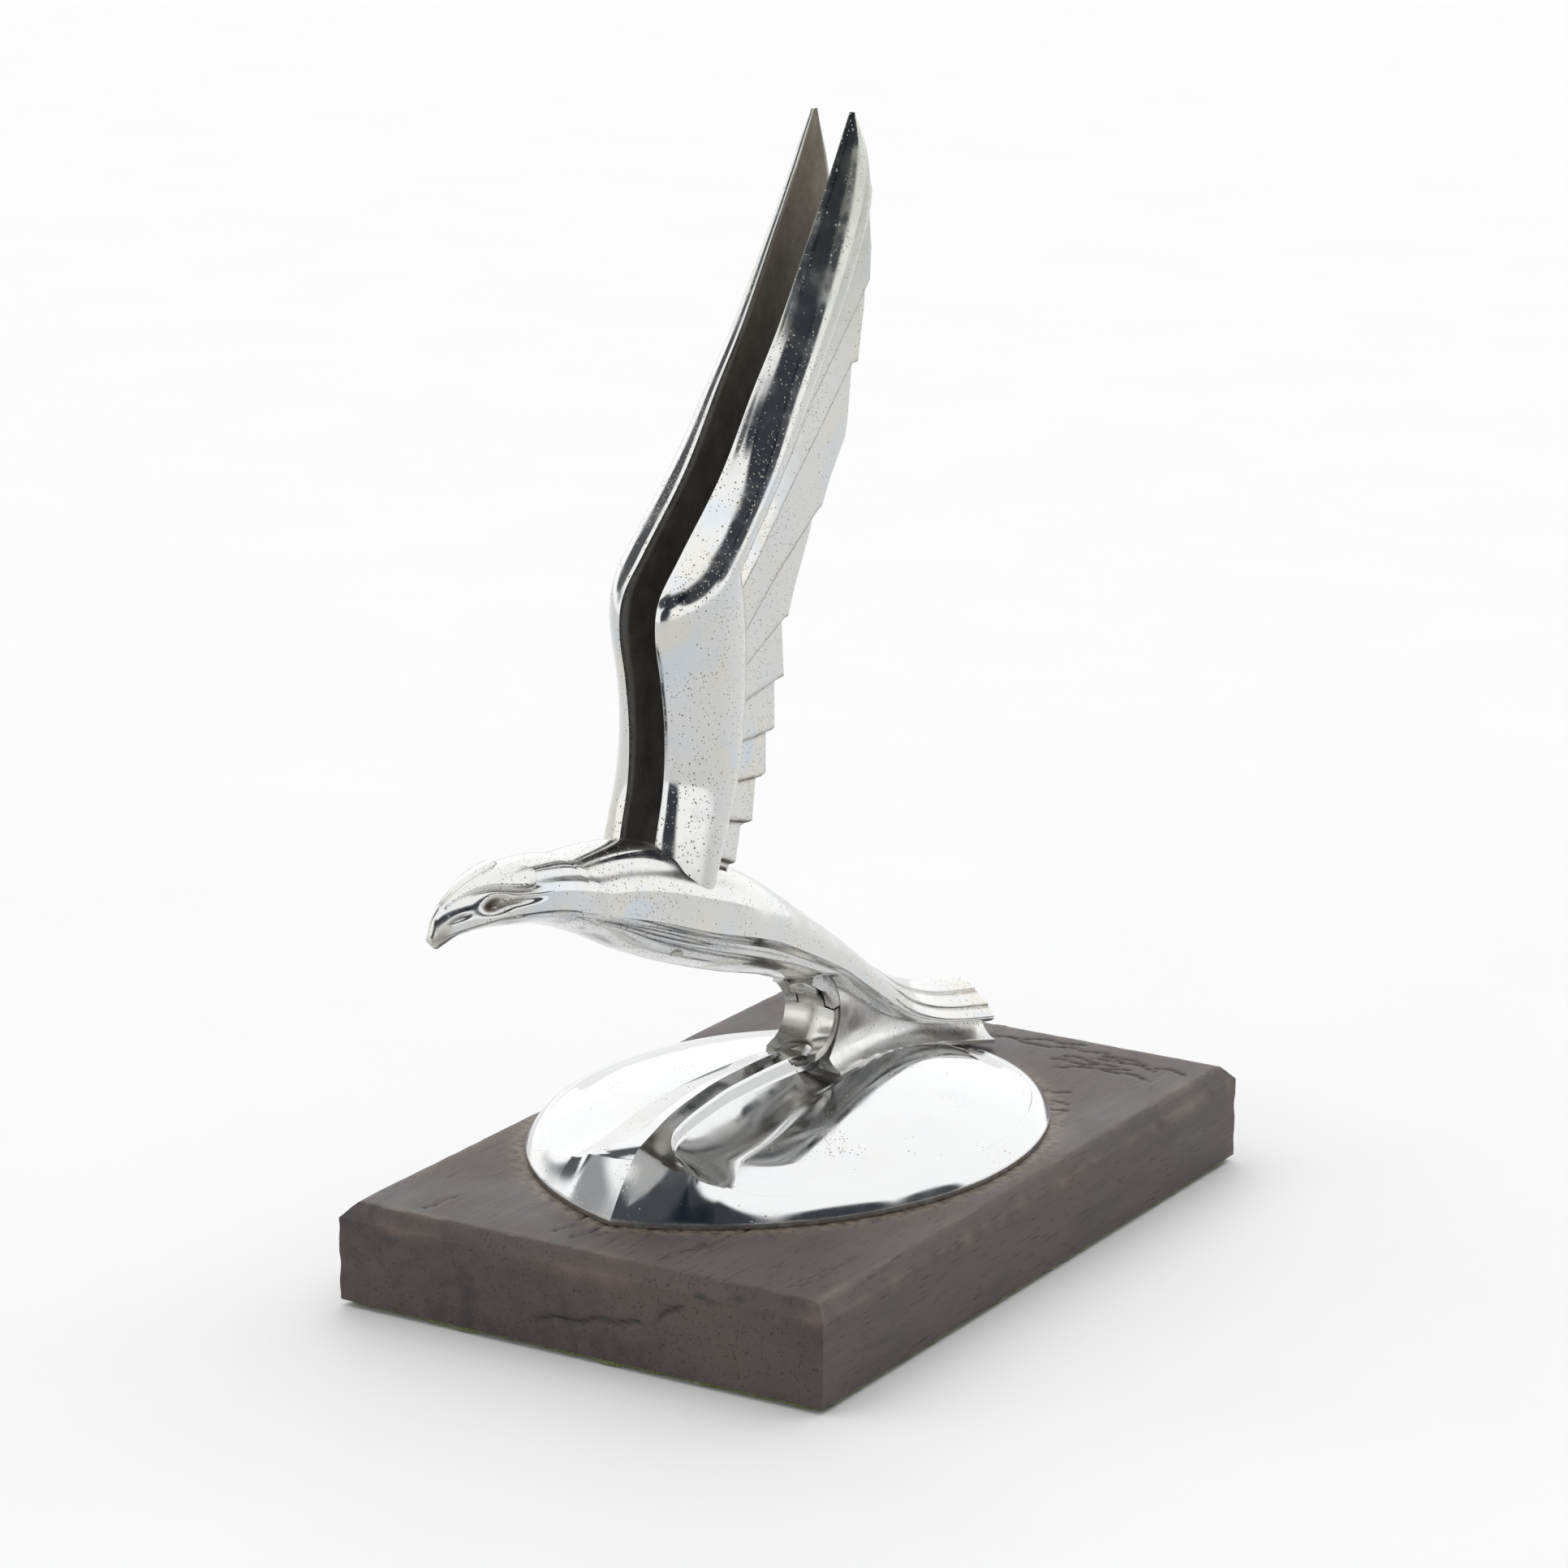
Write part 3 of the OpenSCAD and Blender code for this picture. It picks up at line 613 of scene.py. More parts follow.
def feather_lift(y, z):
    """Height of the overlapping feathers above the vane: each lower edge is a step."""
    lift = np.zeros_like(y)
    seam = np.zeros_like(y)
    lows = [feather_front_z(edge, y) for edge in FEATHER_EDGES]
    lows.append(lows[-1] + 22)
    for low, high in zip(lows, lows[1:]):
        inside = step(z, low - 0.18, low + 0.18) * (1 - step(z, high - 0.18, high + 0.18))
        fall = np.clip((z - low) / (high - low + 1e-6), 0, 1)
        lift += inside * (1.15 - 1.0 * fall)
        # seam is a painted dark line on each feather step, standing in for the shade of its gap,
        # with some grime.
        seam = np.maximum(seam, bell(z - low, 0.5))
    return lift, seam


def wing_rings(side):
    """Rings of one wing up Z: flat inner face, rounded leading bar, stepped feathers."""
    z = np.append(np.arange(WING_ROOT, WING_TOP, 0.28), WING_TOP)[:, None]
    inner = WING_GAP / 2
    front, rear = curve(WING_FRONT, z), straight(WING_REAR, z)
    bar = curve(BAR_REAR, z)
    thick = curve(BAR_THICK, z) * (0.84 + 0.16 * step(z, WING_ROOT, 79))
    rear = np.maximum(rear, bar + 0.12)
    inner_u = np.linspace(1, 0, 14)[None, :]
    inner_y = front + (rear - front) * inner_u
    inner_x = np.full_like(inner_y, inner)
    u = np.linspace(0, 1, 52)[None, 1:] ** 1.3
    bar_y = front + (bar - front) * u
    bulge = np.sin(math.pi * 0.84 * u) ** 0.62
    bar_x = inner + thick * bulge
    v = np.linspace(0, 1, 78)[None, :]
    vane_y = bar + 0.1 + (rear - bar - 0.1) * v
    lift, seam = feather_lift(vane_y, np.broadcast_to(z, vane_y.shape))
    fade = 1 - step(z, 178, 190)
    vane_x = inner + 0.5 * thick * (1 - 0.35 * v) + (lift - 0.9) * fade
    vane_x = np.minimum(vane_x, bar_x[:, -1:] - 0.15 + 0.4 * v)
    y = np.concatenate([inner_y, bar_y, vane_y], 1)
    x = np.concatenate([inner_x, bar_x, vane_x], 1)
    # Painted shade: a dark patch low on the bar at the wing's root.
    root = bell(z - 77, 6) * bell(u - 0.25, 0.3)
    grime = np.concatenate([0 * inner_y, 0.3 * root, 0.95 * seam * fade], 1)
    # Painted shade, with some dirt, darkens the crease between the bar and the vane.
    crease = inner_y.shape[1] + bar_y.shape[1]
    grime[:, crease:crease + 2] = np.maximum(grime[:, crease:crease + 2], 0.4)
    # The flat inner face is bare metal, up to the plated corners at both of its ends.
    flat = np.concatenate([np.ones_like(inner_y), 0 * bar_y, 0 * vane_y], 1)
    flat[:, 0] = 0
    flat[:, inner_y.shape[1] - 1] = 0
    tarnish = step(z, 150, 196) * np.ones_like(y)
    rings = np.stack([side * x, y, np.broadcast_to(z, y.shape)], -1)
    return rings, dict(grime=np.clip(grime, 0, 1).ravel(), raw=flat.ravel(),
                       tarnish=tarnish.ravel())


def wing(name, side):
    """One wing; side is 1 for the left and -1 for the right."""
    rings, marks = wing_rings(side)
    return skin(name, on_board(rings), sharp=32, **marks)


# ---------- dome ----------

def dome_half(y):
    """Half width of the dome's outline: a pointed arch in front, an ellipse behind."""
    ogive = (DOME_R**2 + DOME_FRONT**2) / (2 * DOME_R)
    d = y - DOME_Y
    nose = DOME_R - ogive + np.sqrt(np.maximum(ogive**2 - d**2, 0))
    back = DOME_R * np.sqrt(np.maximum(1 - (d / DOME_REAR) ** 2, 0))
    return np.where(d < 0, nose, back)


def rim_points(turn):
    """Points of the dome's outline; turn is 0 at the front tip."""
    y = DOME_Y - np.cos(turn) * np.where(np.cos(turn) > 0, DOME_FRONT, DOME_REAR)
    return np.sign(np.sin(turn)) * dome_half(y) * (np.abs(np.sin(turn)) > 1e-9), y


def band_height(turn):
    """Height of the rim's band: low at the sides, raised towards the front tip."""
    c = np.cos(turn)
    front = BAND_SIDE + BAND_RISE / (1 + np.exp((0.884 - c) / 0.045))
    return np.where(c > 0, front, BAND_SIDE - 0.9 * c**2)


def band_inset(turn, reach):
    """Shrink of the rim's outline to the inner edge of its band, wider at the front tip."""
    front = np.maximum(np.cos(turn), 0) ** 8
    return 1 - (BAND_W + (BAND_W_FRONT - BAND_W) * front) / reach


def dome_z(x, y, out, band):
    """Top of the dome: crowned panels, the spine, and a flute on each side of it."""
    away = np.abs(x)
    lip = 0.4 * step(1 - out, 0.010, 0.022) * (1 - step(1 - out, 0.06, 0.2))
    panel = BOARD_TOP + band + (CROWN_H - band) * (1 - out**2.3) - lip
    inner = curve(FLUTE_NEAR, y)
    reach = curve(FLUTE_REACH, y)
    flank = 0.31 * np.minimum(away, inner) + 0.7 * np.maximum(away - inner, 0)
    rise = curve(SPINE_LINE, y) - panel
    ridge = panel + (rise - flank + np.sqrt((rise - flank) ** 2 + 0.2)) / 2
    across = (away - inner) / np.maximum(reach - inner, 0.1)
    drop = FLUTE_WALL * np.clip((y + 58) / 12, 0, 1)
    bank = np.maximum(rise - drop, 0) * (1 - across) ** 2
    flute = panel + bank - curve(FLUTE_DEPTH, y) * 4 * across * (1 - across)
    wall = step(away, inner, inner + WALL_RUN)
    flute = np.minimum(flute, ridge)
    open_flute = (across > 0) & (across < 1) & (reach > inner + 0.3)
    return np.where(open_flute, ridge * (1 - wall) + flute * wall, ridge)


def dome_columns(y, edge):
    """Places across each section from the centre out, with columns on the flute's edges."""
    inner = np.minimum(curve(FLUTE_NEAR, y), 0.8 * edge)
    reach = np.clip(curve(FLUTE_REACH, y), inner, 0.92 * edge)
    wall = inner + np.minimum(WALL_RUN, 0.3 * (reach - inner))
    marks = (0 * edge, inner, wall, reach, edge)
    counts = (12, 6, 34, 60)
    parts = []
    for low, high, count in zip(marks, marks[1:], counts):
        s = np.linspace(0, 1, count, endpoint=False)[None, :]
        parts.append(low[:, None] + (high - low)[:, None] * s)
    return np.concatenate(parts + [edge[:, None]], 1)


def dome_outline():
    """Fine +X half of the rim: turn, x, y, reach from the middle, shrink to the top."""
    turn = np.linspace(0, math.pi, 6001)
    x, y = rim_points(turn)
    reach = np.hypot(x, y - DOME_Y)
    return turn, x, y, reach, band_inset(turn, reach)


def dome_rows(turn, rim_y, inner):
    """Places of the top's sections along Y, and the rim's turn at the end of each."""
    sheet_y = DOME_Y + (rim_y - DOME_Y) * inner * SHEET_OUT
    front, rear = sheet_y[0], sheet_y[-1]
    rows = np.concatenate([np.linspace(front, 25, 330),
                           25 + (rear - 25) * np.sin(np.linspace(0, math.pi / 2, 130)[1:])])
    row_turn = np.interp(rows, sheet_y, turn)
    row_turn[[0, -1]] = 0, math.pi
    return rows, row_turn


def dome_rim(row_turn):
    """Rings of the rim, its band and the margin inside: along the +X side and back."""
    loop = np.concatenate([row_turn, -row_turn[-2:0:-1]])[None, :]
    lx, ly = rim_points(loop)
    shrink = band_inset(loop, np.hypot(lx, ly - DOME_Y))
    low = np.stack([lx[0], ly[0], np.full(lx.shape[1], BOARD_TOP)], -1)
    high = low + np.array([0, 0, RIM_H])
    outs = np.linspace(1, SHEET_OUT, 9)[:, None]
    x = lx * shrink * outs
    y = DOME_Y + (ly - DOME_Y) * shrink * outs
    margin = np.stack([x, y, dome_z(x, y, outs, band_height(loop))], -1)
    band = []
    for t in np.linspace(0, 1, 14)[:-1]:
        ring = high * (1 - t) + margin[0] * t
        ring[:, 2] += 0.35 * math.sin(math.pi * t)
        band.append(ring)
    return np.concatenate([low[None], np.stack(band), margin])


def dome_top(rows, last, outline):
    """The top in sections, mirrored from the +X half and ending on the rim's last ring."""
    turn, rx, ry, reach, inner = outline
    n = len(last)
    half = dome_columns(rows, np.abs(last[:len(rows), 0]))
    sx = np.concatenate([-half[:, :0:-1], half], 1)
    sy = np.broadcast_to(rows[:, None], sx.shape)
    bearing = np.arctan2(np.abs(sx), DOME_Y - sy)
    rim_bearing = np.arctan2(rx, DOME_Y - ry)
    out = np.hypot(sx, sy - DOME_Y) / np.interp(bearing, rim_bearing, reach * inner)
    at = np.interp(bearing, rim_bearing, turn)
    sheet = np.stack([sx, sy, dome_z(sx, sy, out, band_height(at))], -1)
    sheet[:, 0] = last[[0] + list(range(n - 1, n - len(rows) + 1, -1)) + [len(rows) - 1]]
    sheet[:, -1] = last[:len(rows)]
    away = np.abs(sx)
    # Painted shade with some soil: darker along the middle of each flute up to the lever, and
    # beside the lever's toes.
    hollow = bell(away - 0.55 * (curve(FLUTE_NEAR, sy) + curve(FLUTE_REACH, sy)), 4)
    soil_and_shade = 0.2 * hollow * (sy > -48) * (sy < 4) + 0.3 * bell(sy - 1, 4) * bell(away - 6, 4)
    return sheet, np.clip(soil_and_shade, 0, 1)


def dome_shell():
    """Banded rim and fluted top in one closed piece, hollow under the rod and its plates."""
    outline = dome_outline()
    rows, row_turn = dome_rows(outline[0], outline[2], outline[4])
    rings = dome_rim(row_turn)
    sheet, soil_and_shade = dome_top(rows, rings[-1], outline)
    m, n, _ = rings.shape
    quads = [sheet_faces(m, n, True), sheet_faces(*soil_and_shade.shape, False) + m * n]
    # Painted shade with grime round the rim's foot on the board, fading up its outer face.
    grime = np.concatenate([np.full(n, 0.9), np.full(n, 0.6), np.zeros((m - 2) * n),
                            soil_and_shade.ravel()])
    points = np.concatenate([rings.reshape(-1, 3), sheet.reshape(-1, 3)])
    piece = build("dome_shell", on_board(points), np.concatenate(quads), [list(range(n))],
                  grime=grime, sharp=17)
    cut(piece, [
        post(ROD_Y, 18, 24, 18),
        post(ROD_Y, 17.5, 27.5, 9),
        post(ROD_Y, 17, 20.6, 26),
        post(ROD_Y, 16, 45, ROD_HOLE_R),
        cross_bar(ARC_Y, ARC_Z, 8.6, 1.6, x=4.1),  # room for the lever's two toes
        cross_bar(ARC_Y, ARC_Z, 8.6, 1.6, x=-4.1),
    ])
    return piece


# ---------- pylon ----------

def channel_radius(across, rim, crease):
    """Radius of the lever's hollow face from its hinge line side to side."""
    return rim + (crease - rim) * (1 - (np.abs(across) / (LEVER_W / 2)) ** 1.25)


def arc_points(radius, turn, across):
    """Points on the lever's arc: turn 0 points down, 90 back, 180 up."""
    a = np.radians(turn)
    y = ARC_Y + radius * np.sin(a)
    z = ARC_Z - radius * np.cos(a)
    return np.stack(np.broadcast_arrays(across, y, z), -1)


def curved_plate(name, turns, across, inside, outside, **extra):
    """Closed plate on the lever's arc from grids of turns and of places across it."""
    front = arc_points(inside, turns, across)
    back = arc_points(outside, turns, across)
    rings = np.concatenate([front, back[:, ::-1]], 1)
    return skin(name, rings, **extra)


def pylon_web():
    """Web from the dome up to the belly: hollow behind the lever, flared at its foot."""
    along = np.linspace(0, 1, 150)[:, None] ** 1.1
    s = np.linspace(0, 1, 70)[None, :]
    y0 = 7.0 + (TAIL_END - 7.0) * along
    foot, wide = curve(WEB_FOOT, y0), curve(WEB_HALF, y0)
    top = curve(CHEST_LINE, y0) + 1
    z = foot - 1.4 + (top - foot + 1.4) * s
    x = wide + 3.2 * np.exp(-np.maximum(z - foot + 0.6, 0) / 1.6)
    reach = np.sqrt(np.maximum(WEB_R**2 - (z - ARC_Z) ** 2, 0))
    front = np.maximum(ARC_Y + reach, 4.0)
    y = front + (TAIL_END - front) * along
    flank = np.stack([x, y, z], -1)
    mirrored = flank[:, ::-1] * np.array([-1, 1, 1])
    rings = np.concatenate([flank, mirrored], 1)
    # Painted shade with grime: darker at the web's foot on the dome and just under the belly.
    grime = 0.3 * np.exp(-np.maximum(z - foot, 0) / 1.2) + 0.15 * np.exp(-(top - z) / 2.0)
    grime = np.concatenate([grime, grime[:, ::-1]], 1)
    piece = skin("pylon_web", on_board(rings), grime=np.clip(grime, 0, 1).ravel())
    cut(piece, [
        brick((-SLOT_HALF, -4, 40), (SLOT_HALF, 14.6, 60)),
        post(ROD_Y, 20, 45, ROD_HOLE_R),
        cross_bar(PIN_Y, PIN_Z, PIN_R, PIN_HOLE_HALF),
    ])
    return piece


def pylon_cheek(name, side):
    """One cheek beside the lever's hinge; its front carries on the lever's hollow face."""
    turns = np.linspace(99, 168, 70)[:, None]
    across = side * np.linspace(SLOT_HALF, LEVER_W / 2, 24)[None, :]
    # A little fuller over the hinge pin.
    inside = (channel_radius(across, LEVER_RIM_R, LEVER_CREASE_R)
              - 0.3 * bell(turns - 132, 20))
    # The back slopes from the full depth beside the hinge to a thin rim at the side.
    out = (np.abs(across) - SLOT_HALF) / (LEVER_W / 2 - SLOT_HALF)
    rim = inside + 1.8
    outside = rim + (WEB_R + 0.6 - rim) * np.sqrt(np.clip(1 - out**2, 0, 1))
    grime = np.full(inside.size * 2, 0.25)
    piece = curved_plate(name, turns, across, inside, outside, grime=grime)
    shift_to_board(piece)
    cut(piece, [cross_bar(PIN_Y, PIN_Z, PIN_R, PIN_HOLE_HALF)])
    return piece


def shift_to_board(piece):
    """Moves a finished piece to the ornament's centre plane."""
    piece.data.transform(Matrix.Translation((ORNAMENT_X * MM, 0, 0)))


# ---------- release lever ----------

def lever_plate():
    """Finger lever: a hollow curved plate on two toes, narrow where it enters the pylon."""
    across = np.linspace(-1, 1, 81)[None, :]
    rise = np.linspace(0, 1, 120)[:, None]
    half = LEVER_W / 2
    arch = 44 * np.sqrt(np.clip(1 - (across * half / 3.3) ** 2, 0, 1)) ** 0.9
    low = -8 + arch
    turns = low + (95 - low) * rise
    s = across * half * np.ones_like(turns)
    inside = channel_radius(s, LEVER_RIM_R, LEVER_CREASE_R)
    outside = channel_radius(s, 7.2, 8.2)
    # The toes roll forward a little at the foot.
    toe = 0.5 * (1 - step(turns, -8, 10))
    # Painted shade with grime: darker along the centre crease and in a band at the toes' foot;
    # the back face takes an even share.
    shade_and_dirt = 0.4 * bell(across, 0.2) + 0.5 * (1 - step(turns - low, 0, 6)) + 0 * turns
    grime = np.concatenate([shade_and_dirt, 0.4 + 0 * shade_and_dirt], 1)
    piece = curved_plate("lever_plate", turns, s, inside + toe, outside + toe * 0.4,
                         grime=np.clip(grime, 0, 1).ravel(), sharp=34)
    shift_to_board(piece)
    return piece


def lever_tongue():
    """Narrow upper end of the plate with its hinge barrel and the nose over the rod."""
    turns = np.linspace(94, 150, 60)[:, None]
    s = np.linspace(-2.7, 2.7, 40)[None, :] * np.ones_like(turns)
    inside = channel_radius(s, LEVER_RIM_R, LEVER_CREASE_R) - 0.9 * bell(turns - 134, 20)
    strip = curved_plate("lever_tongue", turns, s, inside, inside + 1.3,
                         grime=np.full(2 * s.size, 0.3))
    shift_to_board(strip)
    barrel = cross_bar(PIN_Y, PIN_Z, 2.2, 2.8)
    arm = brick((-1.8, PIN_Y, 43.6), (1.8, ROD_Y, 46.0))
    nose = cross_bar(ROD_Y, 44.8, 1.2, 1.8)
    merge(strip, [barrel, arm, nose])
    cut(strip, [cross_bar(PIN_Y, PIN_Z, 1.08, 12)])
    return strip


def merge(piece, others):
    """Joins other solids into the piece as one closed solid."""
    for other in others:
        mod = piece.modifiers.new("join", "BOOLEAN")
        mod.operation = "UNION"
        mod.solver = "EXACT"
        mod.object = other
    graph = bpy.context.evaluated_depsgraph_get()
    mesh = bpy.data.meshes.new_from_object(piece.evaluated_get(graph))
    piece.modifiers.clear()
    piece.data = mesh
    for other in others:
        bpy.data.objects.remove(other)


# ---------- board ----------

def board_block():
    """Bevelled board with a worn edge, shallow dents and drying cracks."""
    nx, ny = 150, 230
    flat_w, flat_l = BOARD_HALF_W - BEVEL_W, BOARD_HALF_L - BEVEL_W
    gx = np.linspace(-flat_w, flat_w, nx)
    gy = np.linspace(-flat_l, flat_l, ny)
    X, Y = np.meshgrid(gx, gy, indexing="ij")
    Z = np.full_like(X, BOARD_TOP)
    grid = np.stack([X, Y, Z], -1).reshape(-1, 3)
    quads = sheet_faces(nx, ny, False)
    loop = [i * ny for i in range(nx)] + [(nx - 1) * ny + j for j in range(1, ny)]
    loop += [i * ny + ny - 1 for i in range(nx - 2, -1, -1)] + [j for j in range(ny - 2, 0, -1)]
    edge = grid[loop]
    n = len(loop)
    points, extra = [grid], []
    previous = np.array(loop)
    base = len(grid)
    drops = [(0.25, 0.04), (0.5, 0.35), (0.75, 0.7), (1.0, 1.0)]
    levels = [(t, BOARD_TOP - BEVEL_H * d) for t, d in drops]
    levels += [(1.0, z) for z in np.linspace(BOARD_TOP - BEVEL_H - 0.6, FELT_T, 24)]
    for t, z in levels:
        out = edge.copy()
        for axis, flat in ((0, flat_w), (1, flat_l)):
            side = edge[:, axis]
            out[:, axis] += np.sign(side) * BEVEL_W * t * (np.abs(side) > flat - 1e-6)
        out[:, 2] = z
        now = np.arange(base, base + n)
        nxt = np.roll(np.arange(n), -1)
        extra += [(previous[i], now[i], now[nxt[i]], previous[nxt[i]]) for i in range(n)]
        points.append(out)
        previous = now
        base += n
    P = np.concatenate(points)
    caps = [tuple(int(k) for k in previous)]
    crack, wear = board_marks(P)
    ring = rim_distance(P[:, 0] - ORNAMENT_X, P[:, 1])
    dust = bell(ring - 0.6, 2.6) * (P[:, 2] > BOARD_TOP - 0.3)
    inward = np.stack([P[:, 0] / BOARD_HALF_W, P[:, 1] / BOARD_HALF_L, np.zeros(len(P))], -1)
    sway = 0.16 * wobble(P[:, 0], P[:, 1], P[:, 2], 24, 5)
    keep = (P[:, 2] > FELT_T + 0.1)
    P[:, 2] -= keep * (np.abs(P[:, 0]) > 1) * (0.10 + 0.10 * sway + 0.55 * crack * (P[:, 2] > 18))
    chip = 0.18 * wear * np.maximum(wobble(P[:, 0], P[:, 1], P[:, 2], 7, 11), 0)
    P -= inward * (0.1 + chip + 0.5 * crack * (P[:, 2] < 16))[:, None]
    faces = np.concatenate([quads, np.array(extra)])
    piece = build("board_block", P, faces, caps, sharp=40, crack=crack, wear=wear, dust=dust)
    holes = [post(ROD_Y, 3, 22, 17)]
    holes += [post(y, -2, 8, 5.4) for y in BOLT_ROWS_Y]
    holes += [post(y, 4, 23, 2.3) for y in BOLT_ROWS_Y]
    cut(piece, holes)
    return piece


def crack_line(P, start, end, sway, width, seed):
    """How close each point is to a wandering crack between two points."""
    a, b = np.array(start, float), np.array(end, float)
    d = b - a
    length = np.linalg.norm(d)
    rel = P - a
    t = np.clip(rel @ d / length**2, 0, 1)
    near = a + t[:, None] * d
    off = P - near
    rng = np.random.default_rng(seed)
    phase = rng.random(3) * 6.28
    bend = sum(np.sin(t * length / s + p) for s, p in zip((3.0, 1.3, 6.0), phase)) * sway
    side = np.cross(d / length, np.array([0, 0, 1.0]))
    if abs(d[2]) > 0.3 * length or abs(a[1]) > 76:
        side = np.array([0, 0, 1.0])
    dist = np.linalg.norm(off - bend[:, None] * side, axis=1)
    taper = np.minimum(1, 6 * np.minimum(t, 1 - t) + 0.2)
    return np.exp(-(dist / (width * taper)) ** 2)


def rim_distance(x, y):
    """How far a point of the board lies outside the dome's rim, in mm."""
    d = np.hypot(x, y - DOME_Y)
    turn = np.linspace(0, 2 * math.pi, 1440, endpoint=False)
    rx, ry = rim_points(turn)
    bearing = np.arctan2(rx, -(ry - DOME_Y))
    order = np.argsort(bearing)
    reach = np.hypot(rx, ry - DOME_Y)
    return d - np.interp(np.arctan2(x, -(y - DOME_Y)), bearing[order], reach[order])


def board_marks(P):
    """Cracks in the front face and the top, and wear along the edges and corners."""
    crack = np.zeros(len(P))
    front = [((-10, -77, 5.2), (14, -77, 9.5)), ((14, -77, 9.5), (22, -77, 14)),
             ((24, -77, 15.5), (34, -76, 16.8))]
    for k, (a, b) in enumerate(front):
        crack = np.maximum(crack, crack_line(P, a, b, 0.35, 0.45, 20 + k))
    rng = np.random.default_rng(77)
    for k in range(26):
        y = 20 + 56 * rng.random()
        x = 46 - 34 * rng.random()
        length = 5 + 12 * rng.random()
        a = (x, y, 19)
        b = (x - length, y + length * (0.15 - 0.5 * rng.random()), 19)
        crack = np.maximum(crack, 0.8 * crack_line(P, a, b, 0.5, 0.3, 100 + k))
    for k in range(9):
        x = -40 + 80 * rng.random()
        a = (x, -72 + 10 * rng.random(), 19)
        b = (x + 1.5, a[1] + 8 + 14 * rng.random(), 19)
        crack = np.maximum(crack, 0.6 * crack_line(P, a, b, 0.3, 0.25, 200 + k))
    gap_w, gap_l = BOARD_HALF_W - np.abs(P[:, 0]), BOARD_HALF_L - np.abs(P[:, 1])
    gap = np.minimum(gap_w, gap_l)
    drop = BOARD_TOP - P[:, 2]
    wear = bell(gap - 3, 1.2) * bell(drop, 1.5) + bell(gap, 0.8) * bell(drop - 2.7, 1.4)
    corner = bell(gap_w, 2) * bell(gap_l, 2)
    return crack, np.clip(wear + 0.8 * corner, 0, 1)


def felt_sheet():
    """Felt pad whose edge wanders a little in and out."""
    n = 420
    t = np.linspace(0, 1, n, endpoint=False)
    half_w, half_l = 49.0, 76.4
    corners = np.array([(-half_w, -half_l), (half_w, -half_l), (half_w, half_l),
                        (-half_w, half_l), (-half_w, -half_l)])
    lengths = np.r_[0, np.cumsum(np.linalg.norm(np.diff(corners, axis=0), axis=1))]
    d = t * lengths[-1]
    x = np.interp(d, lengths, corners[:, 0])
    y = np.interp(d, lengths, corners[:, 1])
    fray = 1 - 0.006 * (1 + wobble(x, y, 0 * x, 5, 3)) - 0.003 * (1 + wobble(x, y, 0 * x, 1.6, 4))
    rings = []
    for z, inset in ((0, 0.996), (0.15, 1), (0.5, 1.001), (0.85, 1), (1.0, 0.997)):
        rings.append(np.stack([x * fray * inset, y * fray * inset, np.full(n, z)], -1))
    return skin("felt_sheet", np.stack(rings), sharp=50)


# ---------- stage ----------

# Dark openings: bearing from -Y towards +X, elevation, inner and outer angle, depth.
OPENINGS = [(30, 8, 13, 19, 0.97), (42, 36, 17, 22, 0.97), (80, 32, 20, 25, 0.97),
            (10, 44, 16, 20, 0.95), (116, 24, 13, 17, 0.95), (-22, 12, 8, 16, 0.6),
            (-105, 26, 14, 18, 0.92), (-78, 20, 7, 13, 0.7)]


def opening_light(tree, coords, bearing, rise, inner, outer, depth):
    """Light let through round one opening: 1 outside it, 1 - depth in its middle."""
    b, r = math.radians(bearing), math.radians(rise)
    toward = tree.nodes.new("ShaderNodeVectorMath")
    toward.operation = "DOT_PRODUCT"
    toward.inputs[1].default_value = (math.sin(b) * math.cos(r), -math.cos(b) * math.cos(r),
                                      math.sin(r))
    tree.links.new(coords.outputs["Generated"], toward.inputs[0])
    ramp = tree.nodes.new("ShaderNodeMapRange")
    ramp.interpolation_type = "SMOOTHSTEP"
    ramp.inputs["From Min"].default_value = math.cos(math.radians(outer))
    ramp.inputs["From Max"].default_value = math.cos(math.radians(inner))
    ramp.inputs["To Min"].default_value = 1.0
    ramp.inputs["To Max"].default_value = 1.0 - depth
    tree.links.new(toward.outputs["Value"], ramp.inputs["Value"])
    return ramp.outputs["Result"]


def soft_world():
    """White room, with dark openings that the chrome mirrors."""
    world = bpy.data.worlds.new("studio")
    bpy.context.scene.world = world
    world.use_nodes = True
    tree = world.node_tree
    tree.nodes.clear()
    out = tree.nodes.new("ShaderNodeOutputWorld")
    back = tree.nodes.new("ShaderNodeBackground")
    coords = tree.nodes.new("ShaderNodeTexCoord")
    light = opening_light(tree, coords, *OPENINGS[0])
    for opening in OPENINGS[1:]:
        both = tree.nodes.new("ShaderNodeMath")
        both.operation = "MULTIPLY"
        tree.links.new(light, both.inputs[0])
        tree.links.new(opening_light(tree, coords, *opening), both.inputs[1])
        light = both.outputs[0]
    shade = tree.nodes.new("ShaderNodeMix")
    shade.data_type = "RGBA"
    shade.inputs[6].default_value = (0.010, 0.014, 0.022, 1.0)
    shade.inputs[7].default_value = (1.0, 1.0, 1.0, 1.0)
    tree.links.new(light, shade.inputs[0])
    tree.links.new(shade.outputs[2], back.inputs["Color"])
    back.inputs["Strength"].default_value = 1.4
    tree.links.new(back.outputs[0], out.inputs[0])


